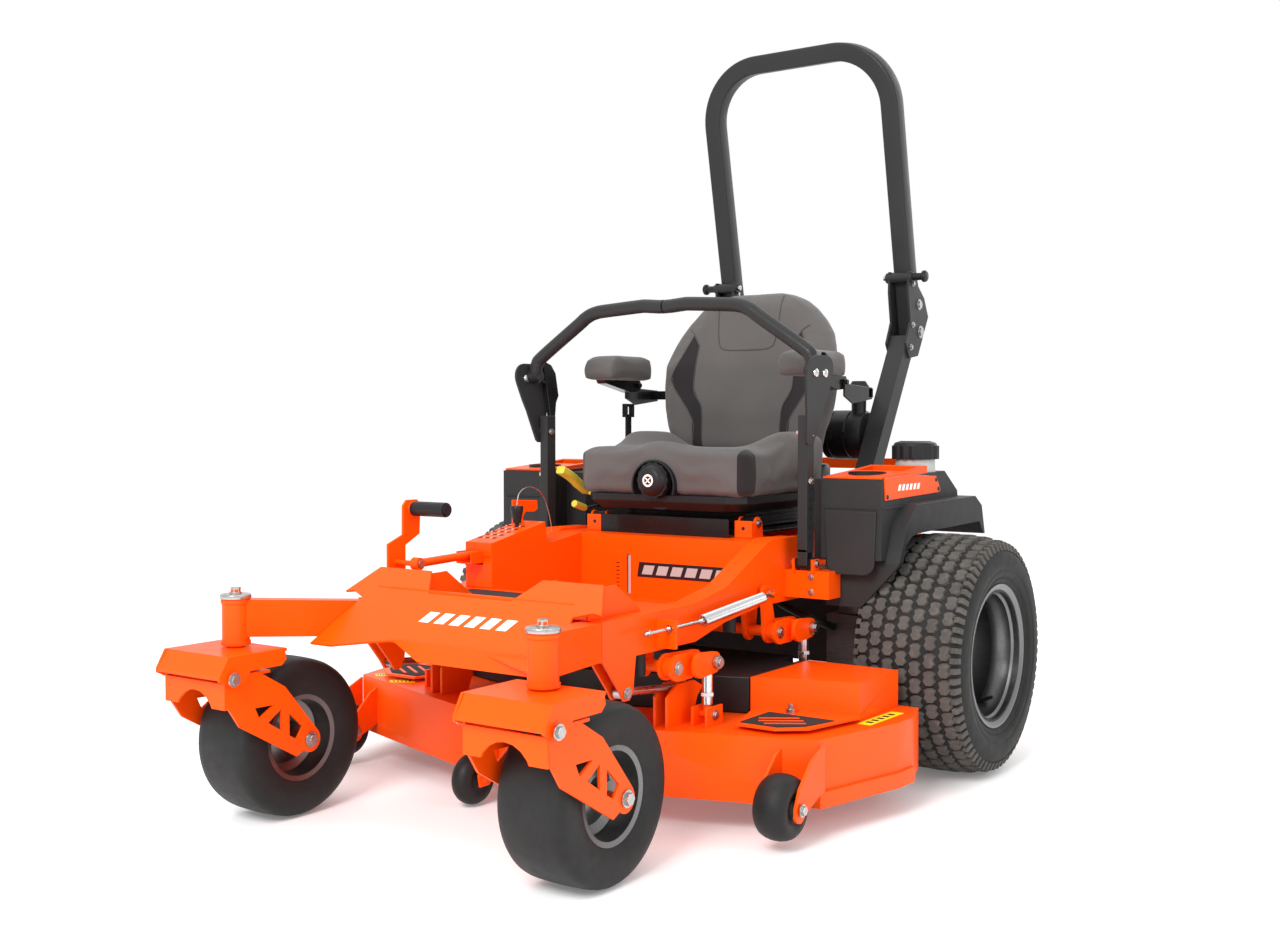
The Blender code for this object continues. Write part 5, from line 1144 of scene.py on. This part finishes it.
        ridge = [0.0158 + 0.0006 * (math.cos(18 * t) > 0) for t in np.linspace(0, 2 * math.pi, 72, endpoint=False)]
        ring = [(-0.451 + r * math.cos(t), 0.632 + r * math.sin(t))
                for r, t in zip(ridge, np.linspace(0, 2 * math.pi, 72, endpoint=False))]
        piece("foot_peg", [extruded(ring, "x", -0.3050, -0.2075),
                           round_bar((-0.2076, -0.451, 0.632), (-0.2040, -0.451, 0.632), 0.0135, 24),
                           round_bar((-0.322, -0.451, 0.632), (-0.316, -0.451, 0.632), 0.0085, 16)], "pedal",
              "plastic", bevel=0.0005)
        piece("pedal_pins", [*hexagon((-0.3215, -0.502, 0.468), (-1, 0, 0), 0.008, 0.005),
                             round_bar((-0.2385, -0.502, 0.515), (-0.2335, -0.502, 0.515), 0.0085, 20)], "pedal",
              "zinc", bevel=0.0005)
        low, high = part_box("selector_pin")
        x, y = (low[0] + high[0]) / 2, (low[1] + high[1]) / 2
        knob = turned([(0.5845, 0.0), (0.5845, 0.0100), (0.5900, 0.0106), (0.6140, 0.0150), (0.6220, 0.0158),
                       (0.6258, 0.0140), (0.6262, 0.0)], (x, y, 0), "z", 40)
        piece("height_knob", [knob, round_bar((x, y, 0.5485), (x, y, 0.586), 0.0052, 16)], "height_pin", "plastic",
              ("selector_pin",))
        foot, top = np.array((-0.305, 0.549)), np.array((-0.113, 0.587))
        slope = (top - foot) / np.linalg.norm(top - foot)
        rise = np.array((-slope[1], slope[0]))
        holes, marks = [], []
        for row in range(5):
            for column in range(3):
                at = foot + slope * (0.038 + row * 0.0265)
                across = -0.270 + column * 0.0215
                if abs(at[0] - y) < 0.012 and abs(across - x) < 0.012:
                    continue
                spot = np.array((across, at[0], at[1]))
                up = np.array((0.0, rise[0], rise[1]))
                # each hole is a thin dark orange disc on the plate, painted shade standing for the hole's shaded
                # inside
                holes.append(round_bar(spot - up * 0.002, spot + up * 0.0006, 0.0060, 20))
                bar = np.array((across - 0.0092, at[0], at[1]))
                marks.append(round_bar(bar + up * 0.0003 - (0, 0.003, 0), bar + up * 0.0003 + (0, 0.003, 0), 0.0008,
                                       6))
        piece("height_holes", holes, "machine", "shade")
        piece("height_marks", marks, "machine", "white")
        tab = extruded([(-0.144, 0.578), (-0.144, 0.638), (-0.050, 0.633), (-0.048, 0.612), (-0.060, 0.605),
                        (-0.094, 0.607), (-0.104, 0.596), (-0.104, 0.560), (-0.130, 0.560)], "x", -0.2795, -0.2755)
        lip = extruded([(-0.3100, 0.517), (-0.3100, 0.549), (-0.3060, 0.549), (-0.3060, 0.517)], "x", -0.2790,
                       -0.2000)
        channel = [box((-0.272, -0.350, 0.505), (-0.268, -0.306, 0.530)),
                   box((-0.229, -0.350, 0.505), (-0.225, -0.306, 0.530)),
                   box((-0.272, -0.350, 0.502), (-0.225, -0.306, 0.506))]
        piece("selector_tabs", [tab, lip, *channel], "machine", "paint", bevel=0.0010)
        return {"FINISHED"}


# ---- roll bar -----------------------------------------------------------------------------
class MOWER_OT_roll_bar(bpy.types.Operator):
    """Folding hoop with rounded tube, hinge barrels, hinge bolts and pull pins"""

    bl_idname = "mower.roll_bar"
    bl_label = "Roll bar"

    def execute(self, context):
        """Make them."""
        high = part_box("roll_bar_hoop")[1]
        tube, mid, lean = 0.050, high[0] - 0.025, math.atan(0.204)
        along = np.array((0, -math.sin(lean), math.cos(lean)))
        foot = np.array((0, 0.915, 1.075)) - along * 0.030
        height = (high[2] - tube / 2 * (math.cos(lean) + math.sin(lean)) - foot[2]) / along[2]
        r = 0.160
        flat = [(mid, h) for h in np.linspace(0, height - r, 8)] + arc((mid - r, height - r), r, 0, 90, 20)[1:]
        flat += [(x, height) for x in np.linspace(mid - r, 0, 6)[1:]]
        flat += [(-x, h) for x, h in flat[::-1][1:]]
        path = [foot + np.array((x, 0, 0)) + along * h for x, h in flat]
        c = 0.007
        section = [p for cx, cy, a in ((1, 1, 0), (-1, 1, 90), (-1, -1, 180), (1, -1, 270))
                   for p in arc((cx * (tube / 2 - c), cy * (tube / 2 - c)), c, a, a + 90, 5)]
        hoop = carried(path, section, np.cross(along, (1, 0, 0)))
        piece("hoop_tube", [hoop], "hoop", "charcoal", ("roll_bar_hoop",), angle=50)
        for side, tag in SIDES:
            y, z = 0.915 - (1.222 - 1.075) * 0.204 - 0.0255 - 0.0095, 1.222
            barrel = [turned([(0.2400, 0.0084), (0.2400, 0.0145), (0.3180, 0.0145), (0.3180, 0.0084)], (0, y, z),
                             "x", 32)]
            bolts = []
            hinge_bolts = ((0.915, 1.075, 0.0130), (0.862, 1.092, 0.0060), (0.905, 1.150, 0.0110),
                           (0.862, 1.205, 0.0060), (0.850, 1.030, 0.0065))
            for at_y, at_z, size in hinge_bolts:
                bolts += hexagon((0.3114, at_y, at_z), (1, 0, 0), size, 0.006)
                bolts += hexagon((0.2486, at_y, at_z), (-1, 0, 0), size, 0.006)
            piece("bar_barrel_" + tag, sided(barrel, side), "machine", "charcoal", bevel=0.0010)
            piece("bar_bolts_" + tag, sided(bolts, side), "machine", "zinc", bevel=0.0005)
            pin = [round_bar((0.2320, y, z), (0.345, y, z), 0.0075, 24)]
            piece("bar_pin_" + tag, sided(pin, side), "bar_pin_" + tag, "zinc",
                  ("roll_bar_pin_" + tag,))
            knob = turned([(0.3420, 0.0), (0.3420, 0.0090), (0.3440, 0.0105), (0.3470, 0.0155), (0.3510, 0.0162),
                           (0.3550, 0.0155), (0.3580, 0.0120), (0.3590, 0.0)], (0, y, z), "x", 40)
            piece("bar_knob_" + tag, sided([knob, round_bar((0.3185, y, z), (0.3430, y, z), 0.0100, 20)], side),
                  "bar_pin_" + tag, "plastic")
        return {"FINISHED"}


# ---- pods ---------------------------------------------------------------------------------
class MOWER_OT_pods(bpy.types.Operator):
    """Orange trim, cup and tray rims, side panels, screws, tank neck and cap"""

    bl_idname = "mower.pods"
    bl_label = "Pod trim"

    def execute(self, context):
        """Make them."""
        for side, tag in SIDES:
            top = 0.6965
            wedge = extruded([(0.156, top), (0.156, top + 0.004), (0.300, top + 0.0145), (0.408, top + 0.0245),
                              (0.408, top + 0.001)], "x", 0.4065, 0.5535)
            trim = piece("pod_trim_" + tag, sided([wedge], side), "machine", "paint")
            hollow(trim, sided([round_bar((0.480, 0.235, 0.68), (0.480, 0.235, 0.75), 0.0440, 48),
                                box((0.4205, 0.3005, 0.68), (0.5395, 0.3895, 0.75))], side))
            well = turned([(0.655, 0.0416), (0.655, 0.0438), (top + 0.0135, 0.0438), (top + 0.0135, 0.0416)],
                          (0.480, 0.235, 0.0), "z", 48)
            piece("cup_liner_" + tag, sided([well], side), "machine", "plastic")
            panel = [(0.168, 0.648), (0.162, 0.700), (0.305, 0.7035), (0.452, 0.695), (0.478, 0.662), (0.470, 0.655)]
            piece("pod_panel_" + tag, sided([extruded(panel, "x", 0.5555, 0.5590)], side), "machine", "paint",
                  bevel=0.0012)
            marks = [extruded([(0.232 + n * 0.021, 0.668), (0.244 + n * 0.021, 0.668), (0.250 + n * 0.021, 0.682),
                               (0.238 + n * 0.021, 0.682)], "x", 0.5588, 0.5594) for n in range(6)]
            piece("pod_marks_" + tag, sided(marks, side), "machine", "white")
            screws = [turned([(0, 0.0), (0, 0.0055), (0.0022, 0.0045), (0.0026, 0.0)], (0.5589, at[0], at[1]), "x",
                             20) for at in ((0.176, 0.656), (0.464, 0.664), (0.450, 0.686))]
            piece("pod_screws_" + tag, sided(screws, side), "machine", "plastic")
            band = [extruded([(0.152, 0.628), (0.152, 0.632), (0.262, 0.632), (0.262, 0.628)], "x", 0.5550, 0.5580),
                    extruded([(0.410, 0.628), (0.550, 0.628), (0.550, 0.632), (0.410, 0.632)], "y", 0.1480, 0.1510)]
            piece("pod_band_" + tag, sided(band, side), "machine", "pod", bevel=0.0010)
            shield = [(0.414, 0.624), (0.420, 0.520)] + arc((0.450, 0.506), 0.0290, 180, 270, 6)
            shield += arc((0.512, 0.506), 0.0290, 270, 360, 6) + [(0.546, 0.624)]
            piece("cup_front_" + tag, sided([extruded(shield, "y", 0.1445, 0.1515)], side), "machine", "pod",
                  bevel=0.0030)
            bolts = []
            for z in (0.435, 0.470):
                bolts += hexagon((0.398, 0.1130, z), (0, -1, 0), 0.0060, 0.005)
            piece("beam_bolts_" + tag, sided(bolts, side), "machine", "zinc", bevel=0.0004)
        x, y = 0.500, 0.460
        neck = turned([(0.700, 0.0), (0.700, 0.0500), (0.7075, 0.0490), (0.7100, 0.0480), (0.7345, 0.0475),
                       (0.7345, 0.0)], (x, y, 0.0), "z", 64)
        piece("tank_neck", [neck], "machine", "tank")
        t = np.linspace(0, 2 * math.pi, 120, endpoint=False)
        wave = 0.0555 + 0.0018 * np.clip(np.cos(15 * t) * 2, -1, 1)
        cap = extruded(np.stack((x + wave * np.cos(t), y + wave * np.sin(t)), -1).tolist(), "z", 0.7352, 0.7680)
        crown = turned([(0.7670, 0.0), (0.7670, 0.0540), (0.7745, 0.0500), (0.7775, 0.0420), (0.7780, 0.0)],
                       (x, y, 0.0), "z", 64)
        ribs = [box((x - 0.040, y - 0.004, 0.7760), (x + 0.040, y + 0.004, 0.7790))]
        piece("tank_cap_skin", [cap, crown, *ribs], "tank_cap", "plastic", ("fuel_cap",), bevel=0.0008)
        return {"FINISHED"}


# ---- engine -------------------------------------------------------------------------------
class MOWER_OT_engine(bpy.types.Operator):
    """Engine with finned cylinders, blower screen, air cleaner and silencer"""

    bl_idname = "mower.engine"
    bl_label = "Engine"

    def execute(self, context):
        """Make them."""
        y = 0.660
        sump = turned([(0.4810, 0.0), (0.4810, 0.1280), (0.4960, 0.1295), (0.5000, 0.1230), (0.6280, 0.1180),
                       (0.6300, 0.0)], (0, y, 0), "z", 48)
        fins = []
        for side in (1, -1):
            way = np.array((side * 0.155, 0.095, 0.0))
            way /= np.linalg.norm(way)
            cross = np.array((-way[1], way[0], 0))
            for n in range(9):
                at = np.array((side * 0.075, y + 0.035, 0.565)) + way * (0.020 + n * 0.0125)
                size = 0.048 if n < 7 else 0.040
                corners = [at + cross * a + np.array((0, 0, b)) for a, b in
                           ((-size, -0.050), (size, -0.050), (size, 0.050), (-size, 0.050))]
                points = np.array([c for c in corners] + [c + way * 0.0065 for c in corners])
                fins.append((points, grid_faces(2, 4, wrap_columns=True) + [(3, 2, 1, 0), (4, 5, 6, 7)]))
            core = [np.array((side * 0.05, y + 0.02, 0.565)),
                    np.array((side * 0.075, y + 0.035, 0.565)) + way * 0.120]
            fins.append(carried(core, [(-0.038, -0.042), (0.038, -0.042), (0.038, 0.042), (-0.038, 0.042)],
                                (0, 0, 1)))
        piece("engine_block", [sump, *fins], "machine", "cast", ("engine",), bevel=0.0010)
        housing = turned([(0.6280, 0.0), (0.6280, 0.1480), (0.6340, 0.1515), (0.7000, 0.1510), (0.7100, 0.1440),
                          (0.7120, 0.1100), (0.7400, 0.1060), (0.7450, 0.0980), (0.7450, 0.0)], (0, y - 0.010, 0),
                         "z", 72)
        spokes = [turned([(0.7450, r - 0.003), (0.7475, r - 0.003), (0.7475, r + 0.003), (0.7450, r + 0.003)],
                         (0, y - 0.010, 0), "z", 48) for r in (0.030, 0.050, 0.070, 0.090)]
        for t in np.radians(np.arange(0, 180, 30)):
            c, s = 0.094 * math.cos(t), 0.094 * math.sin(t)
            spokes.append(round_bar((-c, y - 0.010 - s, 0.7460), (c, y - 0.010 + s, 0.7460), 0.0022, 8))
        piece("blower_cover", [housing, *spokes], "machine", "plastic", bevel=0.0015)
        y, z = 0.730, 0.790
        can = turned([(0.1255, 0.0), (0.1255, 0.0600), (0.1300, 0.0655), (0.1500, 0.0668), (0.1530, 0.0630),
                      (0.1560, 0.0668), (0.2000, 0.0668), (0.2030, 0.0635), (0.2060, 0.0668), (0.2360, 0.0655),
                      (0.2440, 0.0600), (0.2465, 0.0450), (0.2465, 0.0)], (0, y, z), "x", 64)
        hood = turned([(0.8200, 0.0), (0.8200, 0.0250), (0.8500, 0.0195), (0.8840, 0.0200), (0.8870, 0.0280),
                       (0.9030, 0.0345), (0.9100, 0.0350), (0.9280, 0.0230), (0.9355, 0.0180), (0.9355, 0.0)],
                      (0.222, y - 0.015, 0), "z", 48)
        clips = [box((0.150, y - 0.070, z - 0.012), (0.166, y - 0.062, z + 0.012)),
                 box((0.196, y - 0.070, z - 0.010), (0.210, y - 0.062, z + 0.010))]
        hose = carried(smooth_line([(0.130, 0.735, 0.790), (0.105, 0.735, 0.790), (0.080, 0.725, 0.775),
                                    (0.065, 0.705, 0.748)], 8), arc((0, 0), 0.024, steps=20), (0, 0, 1))
        piece("air_canister", [can, hood, *clips, hose], "machine", "plastic", ("air_cleaner",), bevel=0.0008)
        drum = turned([(-0.200, 0.0), (-0.200, 0.046), (-0.194, 0.054), (-0.186, 0.055), (0.186, 0.055),
                       (0.194, 0.054), (0.200, 0.046), (0.200, 0.0)], (0, 0.885, 0.550), "x", 56)
        pipe = carried(smooth_line([(0.10, 0.885, 0.545), (0.14, 0.885, 0.520), (0.155, 0.870, 0.500),
                                    (0.150, 0.820, 0.500), (0.135, 0.780, 0.530)], 6), arc((0, 0), 0.015, steps=16),
                       (0, 0, 1))
        straps = [turned([(a, 0.0555), (a, 0.0575), (a + 0.012, 0.0575), (a + 0.012, 0.0555)], (0, 0.885, 0.550),
                         "x", 56) for a in (-0.12, 0.10)]
        piece("silencer", [drum, pipe, *straps], "machine", "rim", ("muffler",))
        return {"FINISHED"}


# ---- deck and lift ------------------------------------------------------------------------
class MOWER_OT_fittings(bpy.types.Operator):
    """Lift spring, sleeves, pin heads, bumpers, mats, marks and labels"""

    bl_idname = "mower.fittings"
    bl_label = "Fittings"

    def execute(self, context):
        """Make them."""
        x = 0.360
        spring = [coil((x, -0.288, 0.4137), (x, -0.042, 0.4363), 0.0110, 0.0018, 68),
                  round_bar((x, -0.290, 0.4135), (x, -0.040, 0.4365), 0.0098, 16),
                  round_bar((x, -0.504, 0.411), (x, -0.285, 0.4138), 0.0040, 14),
                  round_bar((x, -0.046, 0.4362), (x, -0.002, 0.4409), 0.0045, 12)]
        spring += [turned([(-0.0035, 0.0058), (-0.0035, 0.0100), (0.0035, 0.0100), (0.0035, 0.0058)],
                          (x, -0.001, 0.441), "x", 24)]
        for at in (-0.492, -0.420, -0.400, -0.300):
            z = 0.411 + (at + 0.504) * 0.0128
            spring += [round_bar((x, at, z), (x, at + 0.006, z), 0.0085, 6)]
        piece("lift_spring_skin", spring, "spring", "chrome", ("lift_spring",))
        for side, tag in SIDES:
            heads = []
            for body_name, pin in (("front_lift", (-0.296, 0.332)), ("rear_lift", (0.121, 0.353))):
                heads = hexagon((0.4045, *pin), (1, 0, 0), 0.0100,
                                0.007) + [round_bar((0.3965, *pin), (0.4045, *pin), 0.0135, 24)]
                shaft = (pin[0] - 0.106, pin[1])
                heads += hexagon((0.3742, *shaft), (1, 0, 0), 0.0105, 0.006)
                piece("crank_bolts_%s_%s" % (body_name, tag), sided(heads, side), body_name, "zinc", bevel=0.0005)
            sleeves = [round_bar((0.376, -0.296, 0.243), (0.376, -0.296, 0.309), 0.0115, 24),
                       round_bar((0.376, 0.121, 0.274), (0.376, 0.121, 0.330), 0.0115, 24)]
            sleeves += [round_bar((0.376, -0.296, 0.2600), (0.376, -0.296, 0.2680), 0.0150, 6),
                        round_bar((0.376, 0.121, 0.2900), (0.376, 0.121, 0.2980), 0.0150, 6)]
            piece("hanger_sleeves_" + tag, sided(sleeves, side), "deck", "chrome", bevel=0.0006)
            deck_bolts = []
            for at_y, at_z in ((-0.296, 0.222), (0.121, 0.252)):
                deck_bolts += hexagon((0.3952, at_y, at_z), (1, 0, 0), 0.0085, 0.006)
            piece("deck_bolts_" + tag, sided(deck_bolts, side), "deck", "zinc", bevel=0.0005)
            bumpers = [round_bar((0.310, -0.451, 0.318), (0.310, -0.451, 0.3648), 0.0150, 24),
                       round_bar((0.310, -0.100, 0.362), (0.310, -0.100, 0.4005), 0.0150, 24)]
            piece("bumpers_" + tag, sided(bumpers, side), "machine", "tyre", bevel=0.0025)
            link = hexagon((0.3302, -0.517, 0.295), (1, 0, 0), 0.0095, 0.006)
            piece("link_bolts_" + tag, sided(link, side), "machine", "zinc", bevel=0.0005)
            step = [(0.452, -0.292), (0.538, -0.292), (0.582, -0.255), (0.606, -0.172), (0.452, -0.172)]
            slots = []
            bars = (((0.478, -0.262), (0.556, -0.212)), ((0.500, -0.278), (0.572, -0.232)),
                    ((0.466, -0.240), (0.536, -0.194)))
            for near, far in bars:
                slots.append([near, (near[0] + 0.004, near[1] - 0.006), (far[0] + 0.004, far[1] - 0.006), far])
            piece("step_grip_" + tag, sided([extruded(step, "z", 0.2133, 0.2152)], side), "deck", "grip",
                  bevel=0.0006)
            piece("step_bars_" + tag, sided([extruded(s, "z", 0.2148, 0.2162) for s in slots], side), "deck", "paint",
                  bevel=0.0004)
            thumb = [round_bar((0.492, -0.150, 0.2133), (0.492, -0.150, 0.2230), 0.0110, 20),
                     round_bar((0.492, -0.150, 0.2230), (0.492, -0.150, 0.2330), 0.0055, 14)]
            piece("thumb_screw_" + tag, sided(thumb, side), "deck", "zinc", bevel=0.0006)
            lines = [extruded([(0.3975, 0.1040), (0.6195, 0.1040), (0.6195, 0.1075), (0.3975, 0.1075)], "z", 0.2010,
                              0.2050)]
            piece("cover_foot_" + tag, sided(lines, side), "deck", "paint", bevel=0.0008)
        mat = [(-0.220, -0.512), (0.150, -0.512), (0.150, -0.350), (-0.220, -0.350)]
        piece("foot_mat", [extruded(mat, "z", 0.4451, 0.4472)], "machine", "grip", bevel=0.0006)
        labels = [[(0.627, -0.110), (0.658, -0.112), (0.664, 0.040), (0.634, 0.040)],
                  [(-0.612, -0.276), (-0.588, -0.296), (-0.560, -0.268), (-0.584, -0.250)],
                  [(-0.520, -0.318), (-0.500, -0.334), (-0.452, -0.300), (-0.470, -0.284)]]
        piece("deck_labels", [extruded(o, "z", 0.2000, 0.2006) for o in labels], "deck", "label")
        bars = []
        for outline in labels:
            a, b, c, d = (np.array(p) for p in outline)
            for n in range(5):
                s, e = 0.12 + n * 0.16, 0.20 + n * 0.16
                near, far = (a + (d - a) * s, b + (c - b) * s), (a + (d - a) * e, b + (c - b) * e)
                quad = [near[0] * 0.75 + near[1] * 0.25, near[0] * 0.25 + near[1] * 0.75,
                        far[0] * 0.25 + far[1] * 0.75, far[0] * 0.75 + far[1] * 0.25]
                bars.append(extruded([tuple(q) for q in quad], "z", 0.2005, 0.2009))
        piece("label_bars", bars, "deck", "plastic")
        foot = np.array((-0.721, 0.386))
        slope = np.array((0.163, 0.124)) / math.hypot(0.163, 0.124)
        rise = np.array((-slope[1], slope[0]))
        marks = []
        for n in range(6):
            left = -0.078 + n * 0.041
            quad = [(left, 0.058), (left + 0.026, 0.058), (left + 0.038, 0.088), (left + 0.012, 0.088)]
            ring = np.array([(px, *(foot + slope * t)) for px, t in quad])
            lift = np.array((0, *rise))
            points = np.vstack((ring + lift * 0.0002, ring + lift * 0.0009))
            marks.append((points, grid_faces(2, 4, wrap_columns=True) + [(3, 2, 1, 0), (4, 5, 6, 7)]))
        piece("guard_marks", marks, "machine", "white")
        badge = extruded([(-0.030, 0.452), (0.234, 0.452), (0.240, 0.488), (-0.024, 0.488)], "y", 0.0288, 0.0301)
        piece("panel_badge", [badge], "machine", "plastic", bevel=0.0003)
        ribs = [extruded([(-0.016 + n * 0.041, 0.459), (0.014 + n * 0.041, 0.459), (0.022 + n * 0.041, 0.481),
                          (-0.008 + n * 0.041, 0.481)], "y", 0.0282, 0.0290) for n in range(6)]
        piece("badge_bars", ribs, "machine", "silver_mark")
        gauge = extruded([(-0.094, 0.405), (-0.076, 0.405), (-0.076, 0.512), (-0.094, 0.512)], "y", 0.0275, 0.0301)
        piece("height_strip", [gauge], "machine", "paint", bevel=0.0015)
        # painted shade: dark orange patches on the strip stand for the shaded insides of its small holes
        hole_shades = [extruded([(-0.091, z), (-0.081, z), (-0.081, z + 0.0028), (-0.091, z + 0.0028)], "y", 0.0270, 0.0276)
                 for z in np.arange(0.415, 0.490, 0.0095)]
        piece("height_strip_hole_shade", hole_shades, "machine", "shade")
        pointer = extruded([(-0.0605, 0.408), (-0.0515, 0.408), (-0.0515, 0.5035), (-0.0605, 0.5035)], "y", 0.0345,
                           0.0385)
        piece("height_pointer", [pointer], "machine", "silver_mark", bevel=0.0005)
        ear_bolts = []
        for side in (1, -1):
            ear_bolts += hexagon((side * 0.2432, 0.140, 0.585), (side, 0, 0), 0.0075, 0.006)
            ear_bolts += hexagon((side * 0.1948, 0.140, 0.585), (-side, 0, 0), 0.0075, 0.005)
        piece("ear_bolts", ear_bolts, "machine", "zinc", bevel=0.0004)
        faces = [box((side * 0.219 - 0.024, 0.1110, 0.5515), (side * 0.219 + 0.024, 0.1150, 0.5920))
                 for side in (1, -1)]
        piece("ear_faces", faces, "machine", "paint", bevel=0.0012)
        # the eyes are thin black discs on the ear faces: painted shade standing for the holes' dark insides
        eyes = [round_bar((side * 0.219, 0.1104, 0.5740), (side * 0.219, 0.1112, 0.5740), 0.0045, 18)
                for side in (1, -1)]
        piece("ear_eyes", eyes, "machine", "plastic")
        piece("front_lip", [box((-0.188, 0.0940, 0.5515), (0.188, 0.0980, 0.5955))], "machine", "black_paint",
              bevel=0.0015)
        tray = [box((-0.326, 0.5460, 0.1950), (0.326, 0.5500, 0.4095)),
                box((-0.326, 0.5460, 0.1950), (0.326, 0.6400, 0.1990)),
                box((-0.250, 0.300, 0.3980), (0.250, 0.546, 0.4060))]
        tray += [round_bar((0.0, 0.660, 0.3300), (0.0, 0.660, 0.4790), 0.0560, 40),
                 turned([(0.395, 0.0), (0.395, 0.098), (0.400, 0.098), (0.406, 0.088), (0.412, 0.098),
                         (0.417, 0.098), (0.417, 0.0)], (0.0, 0.660, 0.0), "z", 56)]
        for side in (1, -1):
            tray.append(turned([(0.404, 0.0), (0.404, 0.078), (0.408, 0.078), (0.408, 0.0)],
                               (side * 0.390, 0.382, 0.0), "z", 48))
            tray.append(carried(smooth_line([(side * 0.36, 0.300, 0.330), (side * 0.35, 0.255, 0.345),
                                             (side * 0.30, 0.240, 0.365), (side * 0.24, 0.262, 0.380),
                                             (side * 0.20, 0.300, 0.392)], 8), arc((0, 0), 0.0095, steps=14),
                                (0, 0, 1)))
        piece("under_tray", tray, "machine", "plastic", bevel=0.0010)
        return {"FINISHED"}


# ---- add-on -------------------------------------------------------------------------------
class MOWER_PT_panel(bpy.types.Panel):
    """The mower's pieces, colours and sizes"""

    bl_idname = "MOWER_PT_panel"
    bl_label = "Zero turn mower"
    bl_space_type = "VIEW_3D"
    bl_region_type = "UI"
    bl_category = "Mower"

    def draw(self, context):
        """List the colours, the sizes and the operators."""
        column = self.layout.column()
        for group in (context.scene.mower_colours, context.scene.mower_sizes):
            for key in group.__annotations__:
                column.prop(group, key)
        for operator in OPERATORS:
            column.operator(operator.bl_idname)


OPERATORS = (MOWER_OT_stage, MOWER_OT_bodywork, MOWER_OT_drive_wheels, MOWER_OT_casters, MOWER_OT_gauge_wheels,
             MOWER_OT_seat, MOWER_OT_controls, MOWER_OT_roll_bar, MOWER_OT_pods, MOWER_OT_engine, MOWER_OT_fittings)
CLASSES = (MowerColours, MowerSizes, *OPERATORS, MOWER_PT_panel)


def register():
    """Register the classes and hang the settings on the scene."""
    for cls in CLASSES:
        bpy.utils.register_class(cls)
    bpy.types.Scene.mower_colours = bpy.props.PointerProperty(type=MowerColours)
    bpy.types.Scene.mower_sizes = bpy.props.PointerProperty(type=MowerSizes)


def unregister():
    """Take them away again."""
    del bpy.types.Scene.mower_colours
    del bpy.types.Scene.mower_sizes
    for cls in reversed(CLASSES):
        bpy.utils.unregister_class(cls)


def main():
    """Build everything."""
    register()
    for operator in OPERATORS:
        group, name = operator.bl_idname.split(".")
        getattr(getattr(bpy.ops, group), name)()


if __name__ == "__main__":
    main()
